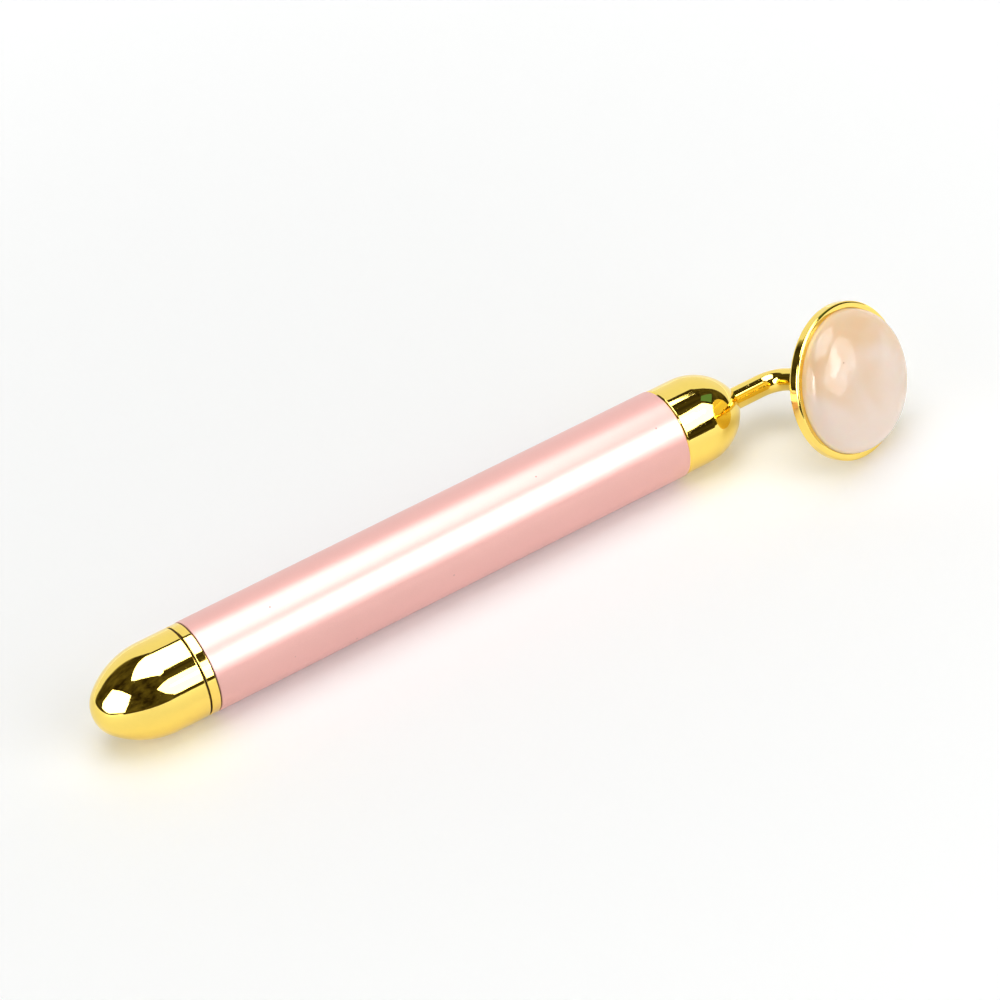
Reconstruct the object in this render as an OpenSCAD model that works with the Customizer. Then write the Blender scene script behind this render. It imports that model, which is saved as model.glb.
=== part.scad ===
// Vibrating beauty bar: a slim battery handle with a twist switch in its tail cap,
// and a round stone in a tray at the end of a bent stem.
// The bar lies on a table along X, tail towards -X. The origin is on the bar's axis,
// half way along the barrel tube. The tray's edge rests on the table beside the barrel.

/* [Barrel] */
// Wall of the barrel tube
tube_wall = 0.6; // [0.4:0.05:0.9]
// Wall of the sleeve between the cell and the tube
sleeve_wall = 0.46; // [0.4:0.02:0.8]
// Room along the tube for the leads, between the bulkhead and the motor
lead_room = 6.23; // [5.5:0.01:14]

/* [Tail cap] */
// Radius by which the gold fittings stand back from the barrel
trim_step = 0.05; // [0.05:0.05:0.15]
// Width of the collar's visible band
collar_w = 1.9; // [1.5:0.1:4]
// Gap between collar and cap at rest, with the switch off
cap_gap = 0.35; // [0.3:0.05:0.6]
// Straight length of the cap before its dome
cap_straight = 5.6; // [5.6:0.1:12]
// Length of the cap's dome
cap_dome = 12.5; // [10:0.5:18]
// Radius of the cap's nose
cap_nose_r = 5.8; // [4:0.1:6.5]
// Pitch of the cap's screw thread
thread_pitch = 1.5; // [1:0.1:2]
// Length of the threaded spigot
spigot_len = 4.5; // [3:0.1:4.6]
// Depth of the thread
thread_depth = 0.3; // [0.1:0.05:0.3]
// Thickness of the seal on the collar
seal_t = 0.12; // [0.08:0.02:0.14]

/* [Cell and contacts] */
// Diameter of the cell, which sets the diameter of the bar
cell_d = 14.5; // [13.5:0.1:16]
// Length of the cell without its button
cell_len = 49.5; // [40:0.5:60]
// Diameter of the cell's button
button_d = 5.2; // [3:0.1:6]
// Length of the cell's button
button_len = 1.0; // [0.8:0.1:1.5]
// How far the cell stands out of the tube's tail end
cell_out = 1.0; // [0:0.1:1.5]
// Thickness of the contact plate
plate_t = 0.4; // [0.3:0.05:0.5]
// Gap between spring and cell with the switch off
switch_gap = 0.25; // [0.22:0.01:0.6]
// Wire diameter of the tail spring
spring_wire = 0.55; // [0.4:0.05:0.6]
// Turns of the tail spring
spring_turns = 4; // [3:1:4]
// Radius of the spring where it meets the plate
spring_base_r = 5.2; // [4:0.1:6]
// Radius of the spring where it meets the cell
spring_tip_r = 3.0; // [2:0.1:3.5]
// Length of the bulkhead that carries the front contact
bulkhead_len = 5; // [4:0.5:8]

/* [Motor] */
// Wall of the cradle round the motor can
cradle_wall = 1.85; // [1.4:0.05:2.3]
// Length of the motor can
motor_len = 20; // [18:0.5:25]
// Diameter of the motor shaft
shaft_d = 1.5; // [1:0.1:2]
// How much smaller the eccentric weight's radius is than the motor's
weight_step = 0.8; // [0.4:0.1:2]
// Length of the eccentric weight
weight_len = 4.2; // [2:0.1:5]

/* [Front cap and stem] */
// Straight length of the front cap before its dome
front_straight = 5.8; // [3:0.1:10]
// Length of the front cap's dome
front_dome = 10; // [9.5:0.5:14]
// Radius of the front cap's nose
front_nose_r = 6.4; // [4:0.1:7]
// Radius by which the front cap stands back from the barrel
front_step = 0.12; // [0.05:0.01:0.3]
// Diameter of the stem
stem_d = 4.2; // [3.6:0.1:5]
// Distance from the front cap's nose to the stem's corner
stem_reach = 9.3; // [7:0.1:20]
// Distance from the stem's corner to the back of the tray
stem_arm = 16.4; // [12:0.1:20]
// Angle of the stem's bend
bend_angle = 73; // [60:1:85]
// Radius of the stem's bend on its centre line
bend_r = 4.6; // [3.5:0.1:7]

/* [Head] */
// Width of the tray's wall round the stone
tray_wall = 1.18; // [0.9:0.02:2]
// Height of the tray's edge
tray_h = 2.2; // [1.8:0.1:3]
// Thickness of the tray's floor
tray_floor = 0.9; // [0.6:0.1:1.2]
// Diameter of the stone
stone_d = 26.4; // [23:0.1:30]
// Height of the stone above the tray's edge
stone_h = 7.1; // [5.5:0.1:10]
// Radius of the stone's crown
stone_crown_r = 20.4; // [18:0.1:30]

/* [Hidden] */
$fn = 96;

gold = [0.93, 0.74, 0.27];
pink = [0.91, 0.69, 0.67];
steel = [0.75, 0.76, 0.78];
brass = [0.80, 0.66, 0.36];
white_plastic = [0.90, 0.90, 0.88];
black_rubber = [0.10, 0.09, 0.08];

// Clearances, all radial or along the bar
slip = 0.05;        // pieces pushed into the tube
running = 0.03;     // shaft in its bushes
cell_play = 0.12;   // round the cell in its bay
stone_play = 0.12;  // round the stone in its tray
thread_play = 0.12; // cap thread round the spigot thread
stack_gap = 0.1;    // between neighbours along the bar
skin = 0.02;        // between pieces that touch
arc_overlap = 0.002;
cut = 1;            // how far a cutter runs past the face that it opens

// Radii of the barrel, counted outwards from the cell
cell_r = cell_d / 2;
bay_r = cell_r + cell_play;
sleeve_r = bay_r + skin;
plug_r = sleeve_r + sleeve_wall;
tube_in_r = plug_r + slip;
tube_r = tube_in_r + tube_wall;
trim_r = tube_r - trim_step;
edge_break = 0.12;

// Lengths that add up to the barrel's
collar_plug = 6;
contact_t = 0.35;
dimple_len = 1;
tab_len = 2.4;
bell_len = 2;
bush_out = 1.2;
weight_gap = 0.4;
weight_room = 1.6;
front_plug = 4;
cell_span = cell_len - cell_out + button_len + skin + dimple_len + contact_t + bulkhead_len;
motor_span = tab_len + bell_len + motor_len + bush_out + weight_gap + weight_len + weight_room
             + stack_gap + front_plug;
tube_len = cell_span + lead_room + motor_span;
tail_end = -tube_len / 2;
head_end = tube_len / 2;

// Collar
band_end = tail_end - collar_w;
spigot_end = band_end - spigot_len;
spigot_wall = 0.23;
thread_root = bay_r + spigot_wall;
thread_r = thread_root + thread_depth / 2;
seal_in_r = thread_root + thread_depth + slip;
seal_out_r = trim_r - 0.2;

// Cap
cap_wall = 2.25;
cap_face = band_end - cap_gap;
cap_dome_base = cap_face - cap_straight;
cap_cavity_r = trim_r - cap_wall;
cap_bore_end = spigot_end - 0.5;
pocket_depth = 0.8;
pocket_r = trim_r - 1.4;
plate_play = 0.15;
plate_r = pocket_r - plate_play;
plate_hole_r = 1;
plate_tail = cap_bore_end - pocket_depth + stack_gap;
plate_face = plate_tail + plate_t;

// Cell and contacts
cell_tail = tail_end - cell_out;
cell_head = cell_tail + cell_len;
cell_edge = 0.4;
button_head = cell_head + button_len;
dimple_r = 1.5;
contact_r = 3.5;
contact_back = button_head + skin + dimple_len + contact_t;
sleeve_tail = tail_end + collar_plug + stack_gap;
sleeve_head = contact_back - stack_gap;
bulkhead_head = contact_back + bulkhead_len;
strip_depth = sleeve_wall * 0.65;
strip_r = plug_r - strip_depth;
strip_angle = 22;
strip_play = 1;
strip_tab = 1.2;

// Motor, in the order of its pieces along the bar
motor_r = plug_r - cradle_wall;
tab_tail = bulkhead_head + lead_room;
bell_tail = tab_tail + tab_len;
can_tail = bell_tail + bell_len;
can_head = can_tail + motor_len;
weight_tail = can_head + bush_out + weight_gap;
weight_head = weight_tail + weight_len;
weight_r = motor_r - weight_step;
weight_hub_r = shaft_d / 2 + 1;
weight_clear = 0.4;
cradle_tail = bulkhead_head + 3;
cradle_head = weight_head + weight_room;
shaft_r = shaft_d / 2;
shaft_out = 0.2;
can_wall = 0.5;
can_edge = 0.3;
bush_r = shaft_r + 1.35;
bush_room = 1;
magnet_t = 0.7;
magnet_angle = 130;
air_gap = 0.45;
core_r = motor_r - can_wall - magnet_t - air_gap;
core_back = 5;
core_front = 4;
core_tail = can_tail + core_back;
core_len = motor_len - core_back - core_front;
magnet_over = 0.8;
pole_count = 3;
hub_r = shaft_r + 1.15;
tooth_w = 1.5;
shoe_t = 0.8;
shoe_angle = 100;
coil_t = 0.75;
coil_over = 1.1;
comm_r = shaft_r + 0.95;
comm_tail = can_tail + 0.6;
comm_len = 2.2;
slot_w = 0.2;
slot_depth = 0.4;
tab_w = 1.6;
tab_t = 0.4;
tab_off = comm_r + 1.3;
brush_w = 1;
brush_len = 1.2;

// Leads: the room round them and how far they swing out
lead_r = 0.45;
lead_bore_r = tab_off + 1.6;
lead_swing = lead_bore_r * 0.7;
lead_top = strip_r - skin - lead_r;

// Front cap and stem
front_r = tube_r - front_step;
skirt_end = head_end + front_straight;
nose_tip = skirt_end + front_dome;
front_wall = 1.6;
front_bevel = [0.3, 0.45];
hollow_tail = head_end - front_plug - cut;
seat_depth = 3.3;
shoulder_depth = 1.4;
seat_x = nose_tip - seat_depth;
shoulder_x = nose_tip - shoulder_depth;
washer_t = 0.45;
washer_r = 3.2;
nut_t = 2.4;
nut_across = 6;
stem_r = stem_d / 2;
shank_r = stem_r - 0.6;
shank_out = 1.2;
shank_tail = seat_x - washer_t - nut_t - shank_out;
corner_x = nose_tip + stem_reach;
tangent_len = bend_r * tan(bend_angle / 2);
elbow_bite = 0.15;
elbow_swell = 0.01;

// Head, counted along the stem's arm from its corner
stone_r = stone_d / 2;
pocket_wall_r = stone_r + stone_play;
tray_r = pocket_wall_r + tray_wall;
tray_round = 0.6;
lip_round = 0.45;
tray_lip = stem_arm + tray_h;
boss_r = stem_r + 1.3;
boss_h = 1.2;
socket_depth = boss_h + 0.55;
cement_t = 0.15;
cement_r = stone_r - 0.6;
stone_base = stem_arm + tray_floor + cement_t + skin;

// The tray's widest edge and the barrel lie on one table, which sets how far the head is rolled
edge_at = stem_arm + tray_round;
table_sine = (sqrt(pow(tube_r * edge_at, 2) + (pow(edge_at, 2) + pow(tray_r, 2))
              * (pow(tray_r, 2) - pow(tube_r, 2))) - tube_r * edge_at)
             / (pow(edge_at, 2) + pow(tray_r, 2));
head_roll = asin(table_sine / sin(bend_angle));

echo(tube_len = tube_len, tube_r = tube_r, head_roll = head_roll);

// Places children that are drawn along Z at x on the bar's axis, pointing to the head
module at_bar(x) {
    translate([x, 0, 0]) rotate([0, 90, 0]) children();
}

// The same, but pointing to the tail
module at_bar_back(x) {
    translate([x, 0, 0]) rotate([0, -90, 0]) children();
}

// Places children that are drawn along Z on the stem's arm, counted from its corner
module at_arm(along) {
    translate([corner_x, 0, 0]) rotate([-head_roll, 0, 0]) rotate([0, 0, -bend_angle])
        rotate([0, 90, 0]) translate([0, 0, along]) children();
}

// Half outline of a bullet that stands on y = 0: a foot broken by bevel, a straight side and a dome of
// height h, made of a side arc and a nose arc. The arcs overlap by a hair, so that they always cross
module bullet_outline(r, straight, h, nose, bevel = [0, 0]) {
    side = (r * r + h * h - 2 * nose * h) / (2 * (r - nose));
    side_centre = [r - side, straight];
    nose_centre = [0, straight + h - nose];
    join = side_centre + (nose_centre - side_centre) * side / (side - nose);
    top = straight + h + cut;
    intersection() {
        polygon([[0, 0], [r - bevel[0], 0], [r, bevel[1]], [r, top], [0, top]]);
        union() {
            square([r + cut, straight]);
            intersection() {
                translate(side < nose ? nose_centre : side_centre + [arc_overlap, 0])
                    circle(side < nose ? nose - arc_overlap : side);
                union() {
                    translate(side < nose ? side_centre + [arc_overlap, 0] : nose_centre)
                        circle(side < nose ? side : nose + 2 * arc_overlap);
                    square(side < nose ? [join[0], top] : [r + cut, join[1]]);
                }
            }
        }
    }
}

module bullet(r, straight, h, nose, bevel = [0, 0]) {
    rotate_extrude() bullet_outline(r, straight, h, nose, bevel);
}

// A ring along Z from 0 to h
module ring(outer, inner, h) {
    difference() {
        cylinder(r = outer, h = h);
        translate([0, 0, -cut]) cylinder(r = inner, h = h + 2 * cut);
    }
}

// A disc along Z with both edges broken by a small bevel
module bevelled_disc(r, h, bevel) {
    cylinder(r1 = r - bevel, r2 = r, h = bevel);
    translate([0, 0, bevel]) cylinder(r = r, h = h - 2 * bevel);
    translate([0, 0, h - bevel]) cylinder(r1 = r, r2 = r - bevel, h = bevel);
}

// A single-start rounded thread along Z: each section is a circle whose centre runs round the axis
thread_sides = 32;
thread_steps = 8;
module thread_core(r, h) {
    rows = ceil(h / thread_pitch * thread_steps);
    points = [for (k = [0 : rows], j = [0 : thread_sides - 1])
        let (z = h * k / rows,
             a = 360 * j / thread_sides,
             reach = r + thread_depth / 2 * cos(a - 360 * z / thread_pitch))
        [reach * cos(a), reach * sin(a), z]];
    sides = [for (k = [0 : rows - 1], j = [0 : thread_sides - 1])
        let (a = k * thread_sides + j,
             b = k * thread_sides + (j + 1) % thread_sides)
        each [[a, a + thread_sides, b], [b, a + thread_sides, b + thread_sides]]];
    foot = [for (j = [0 : thread_sides - 1]) j];
    top = [for (j = [thread_sides - 1 : -1 : 0]) rows * thread_sides + j];
    polyhedron(points, concat([foot], sides, [top]));
}

// A tube of radius r swept along points; its sections are squared to the path, turned from the ref direction
function unit(v) = v / norm(v);
function heading(p, i) = unit(p[min(i + 1, len(p) - 1)] - p[max(i - 1, 0)]);
module swept_tube(path, r, sides, ref) {
    count = len(path);
    points = [for (i = [0 : count - 1], j = [0 : sides - 1])
        let (t = heading(path, i),
             n = unit(cross(t, ref)),
             b = cross(t, n),
             a = 360 * j / sides)
        path[i] + r * (cos(a) * n + sin(a) * b)];
    walls = [for (i = [0 : count - 2], j = [0 : sides - 1])
        let (a = i * sides + j,
             b = i * sides + (j + 1) % sides)
        each [[a, b, a + sides], [b, b + sides, a + sides]]];
    foot = [for (j = [sides - 1 : -1 : 0]) j];
    top = [for (j = [0 : sides - 1]) (count - 1) * sides + j];
    polyhedron(points, concat([foot], walls, [top]));
}

module tail_cap() {
    color(gold) difference() {
        at_bar_back(cap_face) bullet(trim_r, cap_straight, cap_dome, cap_nose_r, [edge_break, edge_break]);
        at_bar_back(band_end) thread_core(thread_r + thread_play, band_end - cap_bore_end);
        at_bar_back(cap_bore_end + plate_play) cylinder(r = pocket_r, h = pocket_depth + plate_play);
        at_bar_back(cap_bore_end)
            bullet(cap_cavity_r, cap_bore_end - cap_dome_base, cap_dome - cap_wall, cap_nose_r - cap_wall);
    }
}

module tail_contact_plate() {
    color(brass) at_bar(plate_tail) ring(plate_r, plate_hole_r, plate_t);
}

// Centre line of the spring along Z: it narrows from the plate to the cell
spring_len = cell_tail - switch_gap - plate_face - skin;
spring_rings = 24;
spring_path = [for (k = [0 : spring_turns * spring_rings])
    let (share = k / (spring_turns * spring_rings),
         r = spring_base_r + (spring_tip_r - spring_base_r) * share,
         a = 360 * k / spring_rings)
    [r * cos(a), r * sin(a), spring_wire / 2 + (spring_len - spring_wire) * share]];
spring_turn_gap = min([for (k = [0 : len(spring_path) - 1 - spring_rings])
    norm(spring_path[k + spring_rings] - spring_path[k])]) - spring_wire;
echo(spring_turn_gap = spring_turn_gap);

module tail_spring() {
    color(steel) at_bar(plate_face + skin) swept_tube(spring_path, spring_wire / 2, 6, [0, 0, 1]);
}

module seal_ring() {
    color(black_rubber) at_bar_back(band_end) ring(seal_out_r, seal_in_r, seal_t);
}

module tail_collar() {
    color(gold) difference() {
        union() {
            at_bar_back(band_end) thread_core(thread_r, spigot_len);
            at_bar(band_end) bevelled_disc(trim_r, collar_w, edge_break);
            at_bar(tail_end - edge_break) cylinder(r = plug_r, h = collar_plug + edge_break);
        }
        at_bar(spigot_end - cut) cylinder(r = bay_r, h = tail_end + collar_plug - spigot_end + 2 * cut);
    }
}

module barrel_tube() {
    color(pink) at_bar(tail_end) ring(tube_r, tube_in_r, tube_len);
}

// A sector of a ring along Z, centred on the -X side, which is uppermost on the bar
module strip_sector(outer, inner, h, angle) {
    rotate([0, 0, 180 - angle / 2]) rotate_extrude(angle = angle)
        translate([inner, 0]) square([outer - inner, h]);
}

module battery_sleeve() {
    color(white_plastic) difference() {
        at_bar(sleeve_tail) ring(plug_r, sleeve_r, sleeve_head - sleeve_tail);
        at_bar(sleeve_tail - cut) strip_sector(plug_r + cut, strip_r - skin,
            sleeve_head - sleeve_tail + 2 * cut, strip_angle + 2 * strip_play);
    }
}

module battery_cell() {
    color([0.35, 0.37, 0.40]) {
        at_bar(cell_tail) bevelled_disc(cell_r, cell_len, cell_edge);
        at_bar(cell_head - cell_edge) cylinder(r = button_d / 2, h = button_len + cell_edge);
    }
}

module return_strip() {
    color(brass) at_bar(sleeve_tail)
        strip_sector(plug_r, strip_r, bulkhead_head + strip_tab - sleeve_tail, strip_angle);
}

module positive_contact() {
    color(brass) {
        at_bar(contact_back - contact_t) cylinder(r = contact_r, h = contact_t);
        at_bar(button_head + skin) cylinder(r = dimple_r, h = dimple_len + contact_t);
    }
}

module contact_bulkhead() {
    color(white_plastic) difference() {
        at_bar(contact_back) cylinder(r = plug_r, h = bulkhead_len);
        at_bar(contact_back - cut) strip_sector(plug_r + cut, strip_r - skin, bulkhead_len + 2 * cut,
            strip_angle + 2 * strip_play);
        at_bar(contact_back - cut) cylinder(r = lead_r + stack_gap, h = bulkhead_len + 2 * cut);
    }
}

// A point on a lead, at a share of the way from the bulkhead to the motor's tabs
function lead_point(share, y, z) = [bulkhead_head + skin + share * (lead_room - 2 * skin), y, z];

// The positive lead runs on the axis, then rises to the upper tab
module positive_lead() {
    color([0.75, 0.10, 0.08]) swept_tube([
        [contact_back + skin, 0, 0], lead_point(0.25, 0, 0), lead_point(0.4, 0, tab_off * 0.15),
        lead_point(0.7, 0, tab_off * 0.85), lead_point(0.85, 0, tab_off), lead_point(1, 0, tab_off)],
        lead_r, 8, [0, 1, 0]);
}

// The negative lead starts under the return strip and swings round the other one to the lower tab
module negative_lead() {
    color([0.08, 0.08, 0.09]) swept_tube([
        lead_point(0, 0, lead_top), lead_point(0.1, 0, lead_top),
        lead_point(0.2, lead_swing * 0.25, lead_top * 0.85), lead_point(0.35, lead_swing * 0.85, lead_top * 0.45),
        lead_point(0.5, lead_swing, 0), lead_point(0.7, lead_swing * 0.5, -tab_off * 0.85),
        lead_point(0.85, 0, -tab_off), lead_point(1, 0, -tab_off)],
        lead_r, 8, [0.3, 1, 0]);
}

// The cradle fills the tube round the motor; it is split level with the axis
module cradle_body() {
    difference() {
        at_bar(cradle_tail) cylinder(r = plug_r, h = cradle_head - cradle_tail);
        at_bar(cradle_tail - cut) cylinder(r = lead_bore_r, h = bell_tail - cradle_tail + 2 * cut);
        at_bar(bell_tail - slip) cylinder(r = motor_r + slip, h = can_head - bell_tail + 2 * slip);
        at_bar(can_head) cylinder(r = bush_r + bush_room, h = weight_tail - can_head);
        at_bar(weight_tail - weight_clear) cylinder(r = weight_r + weight_clear, h = weight_len + 2 * weight_clear);
    }
}

module motor_cradle_lower() {
    color(white_plastic) intersection() {
        cradle_body();
        translate([cradle_tail - cut, -tube_r, -tube_r - slip / 2])
            cube([cradle_head - cradle_tail + 2 * cut, 2 * tube_r, tube_r]);
    }
}

module motor_cradle_upper() {
    color(white_plastic) intersection() {
        cradle_body();
        translate([cradle_tail - cut, -tube_r, slip / 2])
            cube([cradle_head - cradle_tail + 2 * cut, 2 * tube_r, tube_r]);
    }
}

module motor_can() {
    color(steel) difference() {
        union() {
            at_bar(can_tail) bevelled_disc(motor_r, motor_len, can_edge);
            at_bar(can_head - can_edge) cylinder(r = bush_r + can_wall, h = bush_out);
        }
        at_bar(can_tail - cut) cylinder(r = motor_r - can_wall, h = motor_len - can_wall + cut);
        at_bar(can_head - can_wall - cut) cylinder(r = bush_r, h = bush_out + can_wall + 2 * cut);
    }
}

module motor_magnets() {
    color([0.25, 0.25, 0.27]) for (side = [0, 180])
        at_bar(core_tail - magnet_over) rotate([0, 0, side - magnet_angle / 2])
            rotate_extrude(angle = magnet_angle) translate([motor_r - can_wall - magnet_t - skin, 0])
                square([magnet_t, core_len + 2 * magnet_over]);
}

module motor_end_bell() {
    color(white_plastic) difference() {
        union() {
            at_bar(bell_tail) bevelled_disc(motor_r - slip, bell_len, can_edge);
            at_bar(can_tail - can_edge) cylinder(r = motor_r - can_wall - slip, h = 2 * can_edge);
        }
        at_bar(bell_tail - cut) cylinder(r = bush_r, h = bell_len + 3 * cut);
        for (side = [-1, 1])
            translate([bell_tail + bell_len / 2, 0, side * tab_off])
                cube([bell_len + 3 * cut, tab_w + 2 * skin, tab_t + 2 * skin], center = true);
    }
}

module motor_terminals() {
    color(brass) for (side = [-1, 1])
        translate([(tab_tail + can_tail) / 2, 0, side * tab_off])
            cube([can_tail - tab_tail, tab_w, tab_t], center = true);
}

// Each brush reaches from its terminal to the commutator
module motor_brushes() {
    color(brass) for (side = [-1, 1])
        translate([comm_tail + comm_len / 2, 0, side * (tab_off + comm_r + running) / 2])
            cube([brush_len, brush_w, tab_off - comm_r], center = true);
}

module motor_rear_bush() {
    color(brass) at_bar(bell_tail) ring(bush_r - skin, shaft_r + running, bell_len);
}

module motor_front_bush() {
    color(brass) at_bar(can_head - can_wall) ring(bush_r - skin, shaft_r + running, bush_out + can_wall - can_edge);
}

module motor_shaft() {
    color(steel) at_bar(bell_tail + can_edge)
        cylinder(r = shaft_r, h = weight_head + shaft_out - bell_tail - can_edge);
}

module rotor_core() {
    color([0.45, 0.45, 0.47]) at_bar(core_tail) linear_extrude(core_len) difference() {
        union() {
            circle(hub_r);
            for (k = [0 : pole_count - 1]) rotate(360 / pole_count * k) {
                translate([0, -tooth_w / 2]) square([core_r - shoe_t / 2, tooth_w]);
                intersection() {
                    difference() {
                        circle(core_r);
                        circle(core_r - shoe_t);
                    }
                    polygon(2 * core_r * [[0, 0], [cos(shoe_angle / 2), -sin(shoe_angle / 2)], [2, 0],
                                          [cos(shoe_angle / 2), sin(shoe_angle / 2)]]);
                }
            }
        }
        circle(shaft_r + skin / 2);
    }
}

// One coil round each tooth, standing out past both ends of the core
module rotor_windings() {
    color([0.72, 0.40, 0.20]) for (k = [0 : pole_count - 1])
        at_bar(core_tail - coil_over) rotate([0, 0, 360 / pole_count * k]) difference() {
            translate([hub_r + coil_t / 3, -tooth_w / 2 - coil_t, 0])
                cube([core_r - shoe_t - hub_r - coil_t * 0.8, tooth_w + 2 * coil_t, core_len + 2 * coil_over]);
            translate([0, -tooth_w / 2 - skin, coil_over - skin])
                cube([core_r, tooth_w + 2 * skin, core_len + 2 * skin]);
        }
}

module commutator() {
    color(brass) at_bar(comm_tail) difference() {
        ring(comm_r, shaft_r + skin / 2, comm_len);
        for (k = [0.5 : pole_count - 0.5]) rotate([0, 0, 360 / pole_count * k])
            translate([comm_r - slot_depth, -slot_w / 2, -cut])
                cube([slot_depth + cut, slot_w, comm_len + 2 * cut]);
    }
}

module eccentric_weight() {
    color(steel) at_bar(weight_tail) difference() {
        union() {
            cylinder(r = weight_hub_r, h = weight_len);
            intersection() {
                cylinder(r = weight_r, h = weight_len);
                translate([0, -weight_r, 0]) cube([weight_r, 2 * weight_r, weight_len]);
            }
        }
        translate([0, 0, -cut]) cylinder(r = shaft_r + skin / 2, h = weight_len + 2 * cut);
    }
}

module front_cap() {
    color(gold) difference() {
        union() {
            at_bar(head_end - front_plug) cylinder(r = plug_r, h = front_plug + front_wall);
            at_bar(head_end) bullet(front_r, front_straight, front_dome, front_nose_r, front_bevel);
        }
        intersection() {
            at_bar(hollow_tail) bullet(front_r - front_wall, skirt_end - hollow_tail,
                front_dome - front_wall, front_nose_r - front_wall);
            at_bar(hollow_tail - cut) cylinder(r = tube_r, h = seat_x - hollow_tail + cut);
        }
        at_bar(seat_x - cut) cylinder(r = shank_r + slip, h = seat_depth + 2 * cut);
        at_bar(shoulder_x) cylinder(r = stem_r + slip, h = shoulder_depth + cut);
    }
}

module stem_washer() {
    color(steel) at_bar(seat_x - washer_t) ring(washer_r, shank_r + slip, washer_t);
}

module stem_nut() {
    color(steel) at_bar(seat_x - washer_t - nut_t) difference() {
        cylinder(r = nut_across / 2 / cos(30), h = nut_t, $fn = 6);
        translate([0, 0, -cut]) cylinder(r = shank_r + skin, h = nut_t + 2 * cut);
    }
}

// The straight and the arm bite into the ends of the elbow, which is a hair thicker than they are
module stem() {
    color(gold) translate([corner_x - tangent_len, 0, 0]) rotate([-head_roll, 0, 0]) {
        translate([elbow_bite, 0, 0]) rotate([0, -90, 0])
            cylinder(r = stem_r, h = corner_x - tangent_len + elbow_bite - shoulder_x - skin);
        translate([-elbow_bite, 0, 0]) rotate([0, -90, 0])
            cylinder(r = shank_r, h = corner_x - tangent_len - elbow_bite - shank_tail);
        translate([0, -bend_r, 0]) rotate([0, 180, 0]) rotate([0, 0, 90]) {
            rotate_extrude(angle = bend_angle) translate([bend_r, 0]) circle(stem_r + elbow_swell);
            rotate([0, 0, bend_angle]) translate([bend_r, -elbow_bite, 0]) rotate([-90, 0, 0])
                cylinder(r = stem_r, h = stem_arm - boss_h + socket_depth - skin - tangent_len + elbow_bite);
        }
    }
}

// Half outline of the tray: a floor with a round outer edge and a lip that is rounded over
module tray_outline() {
    polygon([[0, 0], [tray_r - tray_round, 0], [tray_r, tray_round], [tray_r, tray_h - lip_round],
             [tray_r - lip_round, tray_h], [pocket_wall_r, tray_h], [pocket_wall_r, tray_floor], [0, tray_floor]]);
    translate([tray_r - tray_round, tray_round]) circle(tray_round);
    translate([tray_r - lip_round, tray_h - lip_round]) circle(lip_round);
}

module head_tray() {
    color(gold) difference() {
        union() {
            at_arm(stem_arm) rotate_extrude() tray_outline();
            at_arm(stem_arm - boss_h) cylinder(r = boss_r, h = boss_h + tray_floor / 4);
        }
        at_arm(stem_arm - boss_h - cut) cylinder(r = stem_r + skin, h = socket_depth + cut);
    }
}

module stone_cement() {
    color([0.85, 0.83, 0.75]) at_arm(stem_arm + tray_floor) cylinder(r = cement_r, h = cement_t);
}

module stone() {
    color([0.93, 0.82, 0.76])
        at_arm(stone_base) bullet(stone_r, tray_lip - stone_base, stone_h, stone_crown_r);
}

tail_cap();
tail_contact_plate();
tail_spring();
seal_ring();
tail_collar();
barrel_tube();
battery_sleeve();
battery_cell();
return_strip();
positive_contact();
contact_bulkhead();
positive_lead();
negative_lead();
motor_cradle_lower();
motor_cradle_upper();
motor_can();
motor_magnets();
motor_end_bell();
motor_terminals();
motor_brushes();
motor_rear_bush();
motor_front_bush();
motor_shaft();
rotor_core();
rotor_windings();
commutator();
eccentric_weight();
front_cap();
stem_washer();
stem_nut();
stem();
head_tray();
stone_cement();
stone();
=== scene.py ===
"""Looks of a vibrating beauty bar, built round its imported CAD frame: two gold caps, a pink tube,
a bent stem and a round stone in a tray, with what is inside them, on a pale table in a soft studio."""

import math

import bmesh
import bpy
from bpy.props import FloatProperty, FloatVectorProperty, IntProperty, PointerProperty
from bpy.types import Operator, Panel, PropertyGroup
from mathutils import Euler, Matrix, Vector


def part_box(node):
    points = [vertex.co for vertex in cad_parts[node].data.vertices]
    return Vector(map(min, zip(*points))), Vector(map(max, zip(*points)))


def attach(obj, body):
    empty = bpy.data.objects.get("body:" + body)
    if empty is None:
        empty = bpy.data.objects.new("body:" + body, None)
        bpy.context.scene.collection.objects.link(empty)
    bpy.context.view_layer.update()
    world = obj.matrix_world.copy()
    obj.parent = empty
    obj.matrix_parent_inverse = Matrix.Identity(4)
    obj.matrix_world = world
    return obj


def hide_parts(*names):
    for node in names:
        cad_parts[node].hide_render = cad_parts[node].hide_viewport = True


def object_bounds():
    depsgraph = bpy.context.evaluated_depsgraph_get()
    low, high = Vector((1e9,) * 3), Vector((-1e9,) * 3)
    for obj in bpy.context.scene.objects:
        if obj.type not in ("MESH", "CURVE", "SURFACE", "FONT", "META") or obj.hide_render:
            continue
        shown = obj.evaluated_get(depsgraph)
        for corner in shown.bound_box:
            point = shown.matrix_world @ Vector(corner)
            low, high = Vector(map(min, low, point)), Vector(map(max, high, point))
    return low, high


bl_info = {
    "name": "Vibrating beauty bar",
    "version": (1, 0, 0),
    "blender": (4, 5, 0),
    "location": "3D View > Sidebar > Beauty bar",
    "description": "Dresses the CAD frame of a vibrating beauty bar and sets a studio round it",
    "category": "Object",
}

MM = 0.001
# Room between pieces that are glued, soldered or screwed tight together.
PLAY = 0.02 * MM
# The groove between the collar's band and the tube, and how far out the painted shade in a seam beside the tube
# reaches.
GROOVE_W, GROOVE_DEPTH, SEAM_SHADE_R = 0.24 * MM, 0.35 * MM, 8.36 * MM

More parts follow.
